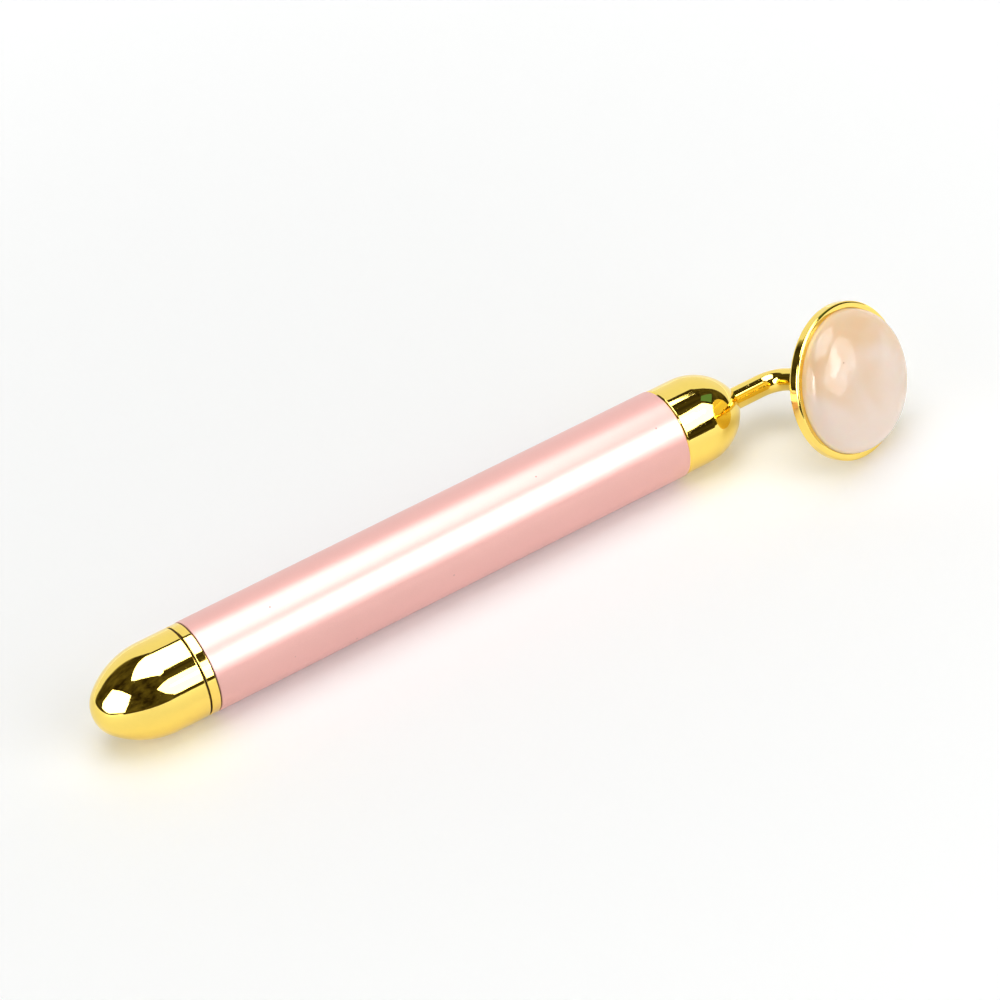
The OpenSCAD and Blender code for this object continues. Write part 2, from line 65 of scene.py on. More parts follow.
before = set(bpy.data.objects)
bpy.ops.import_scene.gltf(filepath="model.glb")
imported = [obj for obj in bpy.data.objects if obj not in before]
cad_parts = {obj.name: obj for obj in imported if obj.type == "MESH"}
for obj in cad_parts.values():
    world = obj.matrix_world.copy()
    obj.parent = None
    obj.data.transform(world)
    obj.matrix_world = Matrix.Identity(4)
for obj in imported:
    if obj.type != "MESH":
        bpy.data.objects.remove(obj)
CAD_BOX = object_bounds()


def span(node, axis=0):
    """Lowest and highest place of a CAD node along one axis."""
    low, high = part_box(node)
    return low[axis], high[axis]


TUBE_TAIL, TUBE_HEAD = span("barrel_tube")
SPIGOT_END, PLUG_HEAD = span("tail_collar")
CAP_FACE = span("tail_cap")[1]
FRONT_TAIL = span("front_cap")[0]
CELL_TAIL, CELL_HEAD = span("battery_cell")
TABLE_Z = CAD_BOX[0].z


def length(name, millimetres, description):
    """A size that a user may change."""
    return FloatProperty(name=name, description=description, default=millimetres * MM, min=0, unit="LENGTH",
                         precision=5)


def colour(name, default, description):
    """A colour that a user may change."""
    return FloatVectorProperty(name=name, description=description, default=default, size=3, min=0, max=1,
                               subtype="COLOR")


class BarrelSizes(PropertyGroup):
    tube_r: length("Tube radius", 8.5, "Outer radius of the pink tube")
    tube_wall: length("Tube wall", 0.6, "Wall of the pink tube")
    trim_r: length("Collar radius", 8.45, "Radius of the collar's band and of the tail cap")
    band_width: length("Band width", 1.9, "Width of the collar's visible band")
    plug_r: length("Plug radius", 7.85, "Radius of what is pushed into the tube")
    bay_r: length("Cell bay radius", 7.37, "Radius of the room for the cell")
    edge: length("Edge rounding", 0.12, "Rounding of the outer edges")


class TailCapSizes(PropertyGroup):
    straight: length("Straight length", 5.6, "Length of the cap before its dome")
    dome: length("Dome length", 12.5, "Length of the cap's dome")
    nose_r: length("Nose radius", 5.8, "Radius of the dome's nose")
    wall: length("Wall", 2.25, "Wall of the cap")
    thread_r: length("Thread radius", 7.75, "Mean radius of the screw thread")
    thread_depth: length("Thread depth", 0.3, "Depth of the screw thread")
    thread_pitch: length("Thread pitch", 1.5, "Pitch of the screw thread")
    thread_play: length("Thread play", 0.12, "Room between the two threads")


class FrontSizes(PropertyGroup):
    cap_r: length("Front cap radius", 8.38, "Radius of the front cap")
    straight: length("Straight length", 5.8, "Length of the cap before its dome")
    dome: length("Dome length", 10, "Length of the cap's dome")
    nose_r: length("Nose radius", 6.4, "Radius of the dome's nose")
    wall: length("Wall", 1.6, "Wall of the cap")
    seat_depth: length("Seat depth", 3.3, "Depth of the stem's seat behind the nose")
    shoulder_depth: length("Shoulder depth", 1.4, "Depth to which the full stem enters the nose")
    stem_r: length("Stem radius", 2.1, "Radius of the stem")
    shank_r: length("Shank radius", 1.5, "Radius of the stem's threaded shank")
    shank_depth: length("Shank depth", 7.35, "Depth of the shank's end behind the nose")
    reach: length("Stem reach", 9.3, "From the nose to the stem's corner")
    arm: length("Stem arm", 16.4, "From the stem's corner to the back of the tray")
    bend_r: length("Bend radius", 4.6, "Radius of the bend on the stem's centre line")
    bend: FloatProperty(name="Bend", description="Angle by which the stem is bent", subtype="ANGLE",
                        default=math.radians(73))
    roll: FloatProperty(name="Roll", description="Angle by which the arm is rolled up from the table",
                        subtype="ANGLE", default=math.radians(18.9607))


class HeadSizes(PropertyGroup):
    tray_r: length("Tray radius", 14.5, "Outer radius of the tray")
    tray_h: length("Tray height", 2.2, "Height of the tray's edge")
    tray_floor: length("Tray floor", 0.9, "Thickness of the tray's floor")
    foot_round: length("Foot rounding", 0.6, "Rounding of the tray's back edge")
    lip_round: length("Lip rounding", 0.45, "Rounding of the tray's lip")
    boss_r: length("Boss radius", 3.4, "Radius of the boss that holds the stem")
    boss_h: length("Boss height", 1.2, "Height of the boss on the tray's back")
    socket: length("Stem socket", 0.55, "How far the stem's socket goes into the tray's floor")
    stone_r: length("Stone radius", 13.2, "Radius of the stone")
    stone_h: length("Stone height", 7.1, "Height of the stone above the tray's lip")
    crown_r: length("Crown radius", 20.4, "Radius of the stone's crown")
    cement: length("Cement", 0.17, "Thickness of the cement under the stone")


class CellSizes(PropertyGroup):
    cell_r: length("Cell radius", 7.25, "Radius of the cell")
    button_r: length("Button radius", 2.6, "Radius of the cell's button")
    button_h: length("Button height", 1, "Height of the cell's button")


class WindingSizes(PropertyGroup):
    wire: length("Winding wire", 0.25, "Diameter of the enamelled wire")
    tooth_w: length("Tooth width", 1.5, "Width of a rotor tooth")
    over: length("Overhang", 1.1, "How far the windings stand out of the core at each end")
    inner_r: length("Inner radius", 2.15, "Where the windings start on a tooth")
    outer_r: length("Outer radius", 3.2, "Where the windings end on a tooth")
    teeth: IntProperty(name="Teeth", description="Teeth of the rotor", default=3, min=2, max=9)
    layers: IntProperty(name="Layers", description="Layers of wire on a tooth", default=3, min=1, max=4)
    rounds: IntProperty(name="Rounds", description="Rounds of wire in a layer", default=4, min=1, max=8)


class SpringSizes(PropertyGroup):
    wire: length("Spring wire", 0.55, "Diameter of the tail spring's wire")
    base_r: length("Base radius", 5.2, "Radius of the spring at the plate")
    tip_r: length("Tip radius", 3.0, "Radius of the spring at the cell")
    turns: IntProperty(name="Turns", description="Turns of the tail spring", default=4, min=2, max=8)


class FinishColours(PropertyGroup):
    gold: colour("Gold plate", (0.95, 0.71, 0.16), "Colour of the gold plating")
    pink: colour("Anodised pink", (0.87, 0.48, 0.445), "Colour of the anodised tube")
    stone: colour("Stone", (0.90, 0.645, 0.425), "Main colour of the stone")
    veil: colour("Stone veils", (0.99, 0.79, 0.695), "Colour of the cloudy veils in the stone")
    steel: colour("Steel", (0.46, 0.46, 0.47), "Colour of bare steel")
    brass: colour("Brass", (0.72, 0.53, 0.24), "Colour of bare brass")
    plastic: colour("White plastic", (0.78, 0.78, 0.74), "Colour of the moulded pieces inside")


class StudioLevels(PropertyGroup):
    lens: FloatProperty(name="Lens", description="Focal length of the camera in millimetres", default=126.25)
    soft: FloatProperty(name="Soft light", description="Level of the softboxes on the object", default=2.3)
    mirror: FloatProperty(name="Mirrored light", description="Level of the softboxes in polished metal", default=7.5)
    table: FloatProperty(name="Table", description="How white the table is", default=0.92, min=0, max=1)


class BeautyBar(PropertyGroup):
    barrel: PointerProperty(type=BarrelSizes)
    tail: PointerProperty(type=TailCapSizes)
    front: PointerProperty(type=FrontSizes)
    head: PointerProperty(type=HeadSizes)
    cell: PointerProperty(type=CellSizes)
    winding: PointerProperty(type=WindingSizes)
    spring: PointerProperty(type=SpringSizes)
    colours: PointerProperty(type=FinishColours)
    studio: PointerProperty(type=StudioLevels)


class Nodes:
    """A node tree, with short ways of adding nodes to it."""

    def __init__(self, tree):
        self.nodes, self.links = tree.nodes, tree.links

    def node(self, kind, values=None, **settings):
        """Adds a node. values are its inputs, each a number or another node's output."""
        made = self.nodes.new(kind)
        for key, value in settings.items():
            setattr(made, key, value)
        for key, value in (values or {}).items():
            self.feed(made.inputs[key], value)
        return made

    def out(self, kind, values=None, **settings):
        """Adds a node and gives its first output."""
        return self.node(kind, values, **settings).outputs[0]

    def feed(self, socket, value):
        """Links another node's output to an input, or sets its number."""
        if isinstance(value, bpy.types.NodeSocket):
            self.links.new(value, socket)
        else:
            socket.default_value = value

    def math(self, operation, first, second=0.5, third=1.0):
        return self.out("ShaderNodeMath", {0: first, 1: second, 2: third}, operation=operation)

    def fit(self, value, low, high, to_low=0.0, to_high=1.0, smooth=False):
        """Maps a value from one range to another, held at both ends."""
        return self.out("ShaderNodeMapRange", {
            "Value": value, "From Min": low, "From Max": high, "To Min": to_low, "To Max": to_high},
            interpolation_type="SMOOTHSTEP" if smooth else "LINEAR")

    def seen(self):
        """1 where the camera looks, also through a mirror, and 0 where light only falls."""
        ray = self.node("ShaderNodeLightPath").outputs
        mirrored = self.math("MAXIMUM", ray["Is Glossy Ray"], ray["Is Transmission Ray"])
        return self.math("MAXIMUM", ray["Is Camera Ray"], mirrored)


class Finish(Nodes):
    """One procedural material."""

    def __init__(self, name):
        self.material = bpy.data.materials.new(name)
        self.material.use_nodes = True
        super().__init__(self.material.node_tree)
        self.shader = self.nodes["Principled BSDF"]
        self.place = self.node("ShaderNodeTexCoord").outputs["Object"]

    def set(self, **values):
        """Sets the shader's own inputs, spelled with underscores, and gives the material."""
        for key, value in values.items():
            self.feed(self.shader.inputs[key.replace("_", " ")], value)
        return self.material

    def stretched(self, scale, turn=(0, 0, 0)):
        return self.out("ShaderNodeMapping", {"Vector": self.place, "Scale": scale, "Rotation": Euler(turn)})

    def noise(self, scale, detail=2.0, rough=0.5, vector=None, warp=0.0):
        return self.out("ShaderNodeTexNoise", {
            "Vector": vector or self.place, "Scale": scale, "Detail": detail, "Roughness": rough, "Distortion": warp})

    def streaks(self, scale, detail=2, turn=(0, 0, 0)):
        """Noise that is drawn out along the axis with the lowest scale."""
        return self.noise(1.0, detail, vector=self.stretched(scale, turn))

    def between(self, noise, low, high):
        """A value that follows a noise between two ends."""
        return self.fit(noise, 0.3, 0.7, low, high)

    def dots(self, scale, edge, core, rare, frequent):
        """Small scattered dots, from 0 to 1. edge and core are distances from a dot's middle, and the last two
        say how few of the dots there are."""
        made = self.node("ShaderNodeTexVoronoi", {"Vector": self.place, "Scale": scale})
        chance = self.out("ShaderNodeSeparateColor", {0: made.outputs["Color"]})
        return self.math("MULTIPLY", self.fit(made.outputs["Distance"], edge, core), self.fit(chance, rare, frequent))

    def blend(self, share, first, second):
        """Mixes two colours."""
        made = self.node("ShaderNodeMix", data_type="RGBA")
        self.feed(made.inputs[0], share)
        for socket, value in ((made.inputs[6], first), (made.inputs[7], second)):
            self.feed(socket, value if isinstance(value, bpy.types.NodeSocket) else (*value, 1))
        return made.outputs[2]

    def bump(self, height, depth, strength=1.0, normal=None):
        """Raises the surface by height, to depth in metres."""
        values = {"Height": height, "Distance": depth, "Strength": strength}
        return self.out("ShaderNodeBump", {**values, "Normal": normal} if normal else values)

    def axis(self, name):
        return self.node("ShaderNodeSeparateXYZ", {0: self.place}).outputs[name]

    def reach(self, vector):
        """Length of a vector."""
        return self.node("ShaderNodeVectorMath", {0: vector}, operation="LENGTH").outputs["Value"]

    def painted(self, name):
        """A value of 0 to 1 that the mesh carries."""
        return self.node("ShaderNodeAttribute", attribute_name=name).outputs["Fac"]


def shade(colour_of, share):
    """A colour made darker, or lighter where share is above 1."""
    return tuple(min(1.0, c * share) for c in colour_of)


def gold_plate(colours):
    """Bright plating: a mirror with slow waves, wavier where it was bent, a breath of haze and a few hairlines,
    and painted shade in the seams at both ends of the tube: dark brown and not metallic, with some glue residue."""
    f = Finish("gold_plate_bright")
    haze = f.noise(900, 3)
    lines = f.math("MAXIMUM", f.fit(f.streaks((70, 3200, 2600), 1, (0, 0.8, 0.7)), 0.66, 0.72),
                   f.fit(f.streaks((2600, 90, 3300), 1, (0.4, -0.1, 0)), 0.67, 0.73))
    ripple = f.math("MULTIPLY", f.noise(620, 0.0), f.math("MULTIPLY_ADD", f.painted("worked"), 5.0))
    along = f.axis("X")
    # Painted shade: the groove beside the band and the foot of the front cap are coloured dark brown and not metallic,
    # as if in the tube's shadow, with some glue residue.
    tail = f.math("COMPARE", along, TUBE_TAIL - GROOVE_W / 2, GROOVE_W / 2 + PLAY)
    head = f.math("COMPARE", along, TUBE_HEAD, 0.05 * MM)
    inside = f.math("LESS_THAN", f.reach(f.stretched((0, 1, 1))), SEAM_SHADE_R)
    seam_shade = f.math("MULTIPLY", f.math("MAXIMUM", tail, head), inside)
    body = f.blend(f.fit(haze, 0.35, 0.65), shade(colours.gold, 0.985), colours.gold)
    return f.set(Base_Color=f.blend(seam_shade, body, (0.10, 0.030, 0.014)), Metallic=f.math("SUBTRACT", 1.0, seam_shade),
                 Roughness=f.math("ADD", f.between(haze, 0.022, 0.045), f.math("MULTIPLY", lines, 0.05)),
                 Normal=f.bump(lines, 0.0006 * MM, 1.0, f.bump(
                     ripple, 0.0025 * MM, 1.0, f.bump(f.noise(210, 1.0), 0.012 * MM))))


def pink_anodised(colours):
    """Blasted and anodised aluminium: satin, with a fine grain, faint draw lines and a few dark specks."""
    f = Finish("pink_anodised_satin")
    grain = f.noise(5200, 2)
    drawn = f.streaks((14, 900, 900))
    body = f.blend(f.between(f.noise(55, 2), 0, 1), shade(colours.pink, 0.97), colours.pink)
    body = f.blend(f.between(grain, 0, 0.5), body, shade(colours.pink, 1.06))
    specks = f.math("MULTIPLY", f.dots(240, 0.055, 0.03, 0.55, 0.6), 0.75)
    return f.set(Base_Color=f.blend(specks, body, (0.22, 0.12, 0.11)), Metallic=0.24,
                 Roughness=f.math("ADD", f.fit(grain, 0.25, 0.75, 0.27, 0.33), f.between(drawn, 0, 0.03)),
                 Normal=f.bump(grain, 0.006 * MM, 0.5, f.bump(drawn, 0.004 * MM, 0.5)))


def rose_stone(colours):
    """Polished cloudy quartz: warm above, paler and pinker below, with soft veils, a faint crack and pits."""
    f = Finish("rose_stone_polished")
    swirl = f.noise(62, 2.5, 0.5, warp=0.8)
    height = f.math("ADD", f.fit(f.axis("Z"), -8 * MM, 19 * MM), f.fit(f.axis("X"), 83 * MM, 93 * MM, 0, 0.4, True))
    warm = f.fit(f.math("ADD", height, f.between(swirl, -0.3, 0.3)), 0.4, 1.0, smooth=True)
    veils = f.fit(f.noise(85, 2, 0.45, f.stretched((1, 1.6, 0.7), (0.3, 0.5, 0.2)), 0.6), 0.5, 0.72, smooth=True)
    body = f.blend(warm, colours.veil, colours.stone)
    body = f.blend(f.math("MULTIPLY", veils, 0.4), body, (0.96, 0.84, 0.75))
    crack = f.node("ShaderNodeTexVoronoi", {"Vector": f.stretched((46, 60, 38), (0.5, 0.2, 0.9)), "Scale": 1.0},
                   feature="DISTANCE_TO_EDGE").outputs["Distance"]
    trace = f.math("MULTIPLY", f.fit(crack, 0.035, 0.0, smooth=True), f.fit(f.noise(150, 1), 0.5, 0.62, 0, 0.12))
    body = f.blend(trace, body, (0.96, 0.88, 0.82))
    pits = f.dots(330, 0.07, 0.03, 0.72, 0.76)
    body = f.blend(f.math("MULTIPLY", pits, 0.6), body, (0.50, 0.30, 0.20))
    return f.set(Base_Color=body, Roughness=f.between(swirl, 0.07, 0.105), Specular_IOR_Level=0.26,
                 Subsurface_Weight=0.5, Subsurface_Radius=(1.0, 0.62, 0.45), Subsurface_Scale=2.6 * MM,
                 Normal=f.bump(pits, -0.06 * MM, 0.6, f.bump(f.noise(170, 2), 0.01 * MM)))


def bare_brass(colours):
    """Stamped or turned brass with light tarnish and rolling lines."""
    f = Finish("bare_brass_rolled")
    tarnish = f.noise(380, 4, 0.6)
    rolled = f.streaks((90, 5200, 5200))
    return f.set(Base_Color=f.blend(f.fit(tarnish, 0.4, 0.75), colours.brass, shade(colours.brass, 0.62)),
                 Roughness=f.math("ADD", f.between(tarnish, 0.22, 0.4), f.between(rolled, 0, 0.08)),
                 Metallic=1.0, Normal=f.bump(rolled, 0.004 * MM))


def steel(colours):
    """Turned or drawn steel with fine lines round and along it."""
    f = Finish("steel_turned")
    lines = f.streaks((9000, 260, 260))
    return f.set(Base_Color=f.blend(f.fit(f.noise(300, 3), 0.35, 0.7), colours.steel, shade(colours.steel, 0.86)),
                 Roughness=f.between(lines, 0.26, 0.4), Metallic=1.0, Normal=f.bump(lines, 0.003 * MM))


def cell_wrap(colours):
    """A plain cell: bare ends, and a shrunk film of two colours with a ring between them."""
    f = Finish("cell_wrap_film")
    along = f.axis("X")
    wrinkle = f.streaks((500, 160, 160), 3)
    film = f.math("MULTIPLY", f.fit(along, CELL_TAIL + 0.9 * MM, CELL_TAIL + 0.95 * MM),
                  f.fit(along, CELL_HEAD - 1.75 * MM, CELL_HEAD - 1.8 * MM))
    copper = f.fit(along, CELL_HEAD - 14.6 * MM, CELL_HEAD - 14.5 * MM)
    past_ring = f.fit(along, CELL_HEAD - 16.1 * MM, CELL_HEAD - 16 * MM)
    ring = f.math("MULTIPLY", past_ring, f.math("SUBTRACT", 1.0, copper))
    wrap = f.blend(ring, f.blend(copper, (0.035, 0.04, 0.045), (0.55, 0.30, 0.14)), (0.75, 0.75, 0.74))
    bare = f.blend(f.noise(500, 3), (0.55, 0.55, 0.56), (0.68, 0.68, 0.68))
    return f.set(Base_Color=f.blend(film, bare, wrap), Metallic=f.fit(film, 0, 1, 1, 0.35),
                 Roughness=f.between(wrinkle, 0.22, 0.32), Normal=f.bump(wrinkle, 0.004 * MM))


def core_iron(colours):
    """Stacked laminations, one line for each sheet."""
    f = Finish("core_iron_laminated")
    sheet, waves_per_metre = 0.35 * MM, 3.183
    sheets = f.node("ShaderNodeTexWave", {"Vector": f.place, "Scale": 1 / sheet / waves_per_metre, "Distortion": 0.15},
                    wave_type="BANDS", bands_direction="X").outputs["Fac"]
    oxide = f.noise(900, 4)
    face = f.blend(oxide, (0.26, 0.26, 0.28), (0.4, 0.4, 0.41))
    return f.set(Base_Color=f.blend(f.fit(sheets, 0.1, 0.5), (0.05, 0.05, 0.055), face), Metallic=0.9,
                 Roughness=f.between(oxide, 0.35, 0.5), Normal=f.bump(sheets, 0.03 * MM))


def grained(name, scale, detail, tones, rough, relief, patches=None, **more):
    """A finish whose grain shows in its gloss and relief, and in its colour unless that has its own patches."""
    f = Finish(name)
    grain = f.noise(scale, *detail)
    return f.set(Base_Color=f.blend(f.noise(*patches) if patches else grain, *tones),
                 Roughness=f.between(grain, *rough), Normal=f.bump(grain, relief * MM), **more)


def enamelled_copper(colours):
    """Enamelled wire, amber over copper."""
    f = Finish("enamelled_copper_wire")
    amber = f.noise(700, 2)
    return f.set(Base_Color=f.blend(amber, (0.52, 0.18, 0.06), (0.66, 0.27, 0.09)), Metallic=0.85,
                 Roughness=f.between(amber, 0.2, 0.3), Coat_Weight=0.6, Coat_Roughness=0.12,
                 Normal=f.bump(f.noise(3000, 2), 0.004 * MM))


def cement(colours):
    """Set cement, matt and grainy."""
    return grained("cement_set", 2600, (4,), ((0.58, 0.55, 0.45), (0.72, 0.70, 0.60)), (0.7, 0.9), 0.04)


def white_plastic(colours):
    """Moulded plastic with a fine spark-worn texture."""
    return grained("white_plastic_moulded", 7000, (3,), (shade(colours.plastic, 0.94), colours.plastic), (0.38, 0.5),
                   0.012, (140, 2), Subsurface_Weight=0.1, Subsurface_Radius=(1.0, 0.9, 0.8),
                   Subsurface_Scale=0.4 * MM)


def black_rubber(colours):
    """Moulded rubber with a little bloom, dark brown in the light."""
    return grained("black_rubber_moulded", 4200, (4,), ((0.035, 0.017, 0.009), (0.070, 0.038, 0.024)), (0.6, 0.8),
                   0.02, (420, 3), Specular_IOR_Level=0.15)


def spring_steel(colours):
    """Nickel-plated wire with drawing lines."""
    return grained("spring_steel_plated", 2400, (3,), ((0.62, 0.60, 0.55), (0.74, 0.72, 0.67)), (0.14, 0.26), 0.004,
                   Metallic=1.0)


def magnet(colours):
    """Sintered ferrite, dark and slightly porous."""
    return grained("magnet_sintered", 3800, (5, 0.65), ((0.035, 0.035, 0.04), (0.09, 0.09, 0.095)), (0.45, 0.65),
                   0.03, Metallic=0.4)


def insulation(name, dark, light):
    """Extruded insulation of one colour, faintly marbled."""
    return grained(name, 1800, (3,), (dark, light), (0.34, 0.48), 0.008, (300, 2), Subsurface_Weight=0.05,
                   Subsurface_Scale=0.3 * MM)


def red_insulation(colours):
    """Insulation of the red lead."""
    return insulation("red_insulation_soft", (0.42, 0.018, 0.014), (0.52, 0.028, 0.02))


def black_insulation(colours):
    """Insulation of the black lead."""
    return insulation("black_insulation_soft", (0.012, 0.012, 0.013), (0.026, 0.026, 0.028))


FINISHES = {maker.__name__: maker for maker in (
    gold_plate, pink_anodised, rose_stone, cement, white_plastic, black_rubber, bare_brass, steel, spring_steel,
    cell_wrap, magnet, core_iron, enamelled_copper, red_insulation, black_insulation)}
made_finishes = {}


def finish_of(slot):
    """The material of a record's slot, made when it is first asked for."""
    if slot not in made_finishes:
        made_finishes[slot] = FINISHES[slot](bpy.context.scene.beauty_bar.colours)
    return made_finishes[slot]


def mesh_of(name, verts, faces, edges=()):
    """A mesh that isn't shown yet."""
    mesh = bpy.data.meshes.new(name)
    mesh.from_pydata(verts, edges, faces)
    return mesh


def shown(name, data):
    """Puts a new object into the scene."""
    made = bpy.data.objects.new(name, data)
    bpy.context.scene.collection.objects.link(made)
    return made


def smooth_piece(name, mesh):
    """Shows a closed mesh, its faces turned outwards, and smooth but for its real edges."""
    work = bmesh.new()
    work.from_mesh(mesh)
    bmesh.ops.remove_doubles(work, verts=work.verts, dist=1e-8)
    bmesh.ops.recalc_face_normals(work, faces=work.faces)
    work.to_mesh(mesh)
    work.free()
    mesh.shade_smooth()
    mesh.set_sharp_from_angle(angle=math.radians(32))
    return shown(name, mesh)


def dress(piece, body, slot, node):
    """Gives a new piece its finish and body, and hides the CAD node that it stands for."""
    piece.data.materials.clear()
    piece.data.materials.append(finish_of(slot))
    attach(piece, body)
    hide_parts(node)


def arc(centre, radius, start, end, steps):
    """Points (x, r) of an arc, with angles in degrees from the X axis towards r."""
    turns = [math.radians(start + (end - start) * k / steps) for k in range(steps + 1)]
    return [(centre[0] + radius * math.cos(a), centre[1] + radius * math.sin(a)) for a in turns]


def bullet(r, straight, h, nose, steps=40):
    """Outline (s, r) of a bullet from its foot at s = 0 to its tip: a straight side and a dome of height h,
    made of a side arc and a nose arc that run into each other."""
    side = (r * r + h * h - 2 * nose * h) / (2 * (r - nose))
    meet = 90 - math.degrees(math.atan2(h - nose, side - r) if side > nose else math.atan2(nose - h, r - side))
    return [(0.0, r), (straight * 0.5, r), *arc((straight, r - side), side, 90, meet, steps)[:-1],
            *arc((straight + h - nose, 0.0), nose, meet, 0, steps)]


def rounded(corners, closed=False, steps=6):
    """Rounds an outline. A corner is (x, r) or (x, r, radius); a rounding also gets a point on each side,
    which keeps the straight runs beside it flat in the light."""
    points = []
    count = len(corners)
    for i, (x, r, *radius) in enumerate(corners):
        if not radius or (not closed and i in (0, count - 1)):
            points.append((x, r))
            continue
        here, radius = Vector((x, r)), radius[0]
        back = Vector(corners[i - 1][:2]) - here
        on = Vector(corners[(i + 1) % count][:2]) - here
        half = back.angle(on) / 2
        back.normalize()
        on.normalize()
        run = radius / math.tan(half)
        centre = here + (back + on).normalized() * radius / math.sin(half)
        first, last = here + back * run - centre, here + on * run - centre
        start = math.degrees(math.atan2(first.y, first.x))
        swing = math.degrees(math.atan2(first.cross(last), first.dot(last)))
        beside = run + radius * 0.35
        points += [tuple(here + back * beside), *arc(centre, radius, start, start + swing, steps),
                   tuple(here + on * beside)]
    return points


def turned(name, outline, closed=False, sides=192, place=None, wave=None):
    """A piece turned round X from (x, r) points, or (x, r, bite) where a thread of that depth runs.
    An outline that isn't closed starts and ends on the axis."""
    verts, rings = [], []
    for x, r, *bite in outline:
        count = 1 if r < 1e-8 else sides
        rings.append(range(len(verts), len(verts) + count))
        for j in range(count):
            a = 2 * math.pi * j / sides
            reach = r + (bite[0] * wave(x, a) if bite else 0)
            verts.append((x, reach * math.sin(a), reach * math.cos(a)))
    faces = []
    for near, far in zip(rings, rings[1:] + (rings[:1] if closed else [])):
        for j in range(sides):
            k = (j + 1) % sides
            if len(near) == 1:
                faces.append((near[0], far[j], far[k]))
            elif len(far) == 1:
                faces.append((near[k], near[j], far[0]))
            else:
                faces.append((near[j], far[j], far[k], near[k]))
    mesh = mesh_of(name, verts, faces)
    if place is not None:
        mesh.transform(place)
    return smooth_piece(name, mesh)


def thread_wave(tail):
    """Height of the single-start thread at a place and angle; both halves share its start on the collar."""
    start = TUBE_TAIL - bpy.context.scene.beauty_bar.barrel.band_width
    return lambda x, a: math.cos(a - 2 * math.pi * (start - x) / tail.thread_pitch)


def threaded(tail, first, last, r):
    """Outline stations along a thread, 22 to a turn, with the thread fading in and out over an eighth."""
    count = math.ceil(abs(last - first) / tail.thread_pitch * 22)
    points = []
    for k in range(count + 1):
        share = k / count
        fade = min(1.0, share * 8, (1 - share) * 8)
        points.append((first + (last - first) * share, r, tail.thread_depth / 2 * fade))
    return points


class BEAUTYBAR_OT_tail_cap(Operator):
    """Builds the domed tail cap with its inner thread"""
    bl_idname = "beautybar.tail_cap"
    bl_label = "Tail cap"

    def execute(self, context):
        bar = context.scene.beauty_bar
        tail, r = bar.tail, bar.barrel.trim_r
        bore_r, room_r = tail.thread_r + tail.thread_play, r - tail.wall
        bore_end = SPIGOT_END - 0.5 * MM
        pocket_end, pocket_r = bore_end - 0.8 * MM, r - 1.4 * MM
        outer = [(CAP_FACE - s, radius) for s, radius in bullet(r, tail.straight, tail.dome, tail.nose_r, 56)]
        face = rounded([outer[1], (CAP_FACE, r, bar.barrel.edge), (CAP_FACE, bore_r, 0.1 * MM),
                        (CAP_FACE - 0.6 * MM, bore_r)])
        room = bullet(room_r, bore_end - (CAP_FACE - tail.straight), tail.dome - tail.wall, tail.nose_r - tail.wall, 24)
        outline = outer[:0:-1] + face[1:-1] + threaded(tail, CAP_FACE - 0.5 * MM, bore_end, bore_r)
        outline += rounded([outline[-1][:2], (bore_end, pocket_r, 0.08 * MM), (pocket_end, pocket_r, 0.1 * MM),
                            (pocket_end, room_r, 0.1 * MM), (pocket_end - 0.3 * MM, room_r)])[1:-1]
        outline += [(bore_end - s, radius) for s, radius in room if bore_end - s < pocket_end - 0.25 * MM]
        dress(turned("tail_cap_shell", outline, wave=thread_wave(tail)), "tail_cap", "gold_plate", "tail_cap")
        return {"FINISHED"}


class BEAUTYBAR_OT_collar(Operator):
    """Builds the collar with its band, groove and threaded spigot, and the seal between it and the cap"""
    bl_idname = "beautybar.collar"
    bl_label = "Collar and seal"

    def execute(self, context):
        bar = context.scene.beauty_bar
        sizes, tail = bar.barrel, bar.tail
        band_end, groove_r = TUBE_TAIL - sizes.band_width, sizes.trim_r - GROOVE_DEPTH
        outline = rounded([(SPIGOT_END + 0.3 * MM, sizes.bay_r), (PLUG_HEAD, sizes.bay_r, 0.08 * MM),
                           (PLUG_HEAD, sizes.plug_r, 0.12 * MM), (TUBE_TAIL, sizes.plug_r, 0.04 * MM),
                           (TUBE_TAIL, groove_r, 0.04 * MM), (TUBE_TAIL - GROOVE_W, groove_r, 0.03 * MM),
                           (TUBE_TAIL - GROOVE_W, sizes.trim_r, 0.06 * MM), (band_end, sizes.trim_r, sizes.edge),
                           (band_end, tail.thread_r, 0.08 * MM), (band_end - 0.2 * MM, tail.thread_r)])
        outline += threaded(tail, band_end - 0.25 * MM, SPIGOT_END + 0.25 * MM, tail.thread_r)
        outline += [(SPIGOT_END + 0.08 * MM, tail.thread_r - 0.06 * MM), (SPIGOT_END, tail.thread_r - 0.14 * MM),
                    (SPIGOT_END, sizes.bay_r + 0.08 * MM), (SPIGOT_END + 0.08 * MM, sizes.bay_r)]
        collar = turned("collar_and_spigot", outline, closed=True, wave=thread_wave(tail))
        dress(collar, "barrel", "gold_plate", "tail_collar")

        low, high = span("seal_ring")
        outer_r = span("seal_ring", 2)[1]
        inner_r = tail.thread_r + tail.thread_depth / 2 + 0.03 * MM
        edge = (high - low) * 0.4
        corners = [(low, inner_r, edge), (high, inner_r, edge), (high, outer_r, edge), (low, outer_r, edge)]
        seal = turned("seal_washer", rounded(corners, closed=True), closed=True, sides=128)
        dress(seal, "barrel", "black_rubber", "seal_ring")
        return {"FINISHED"}


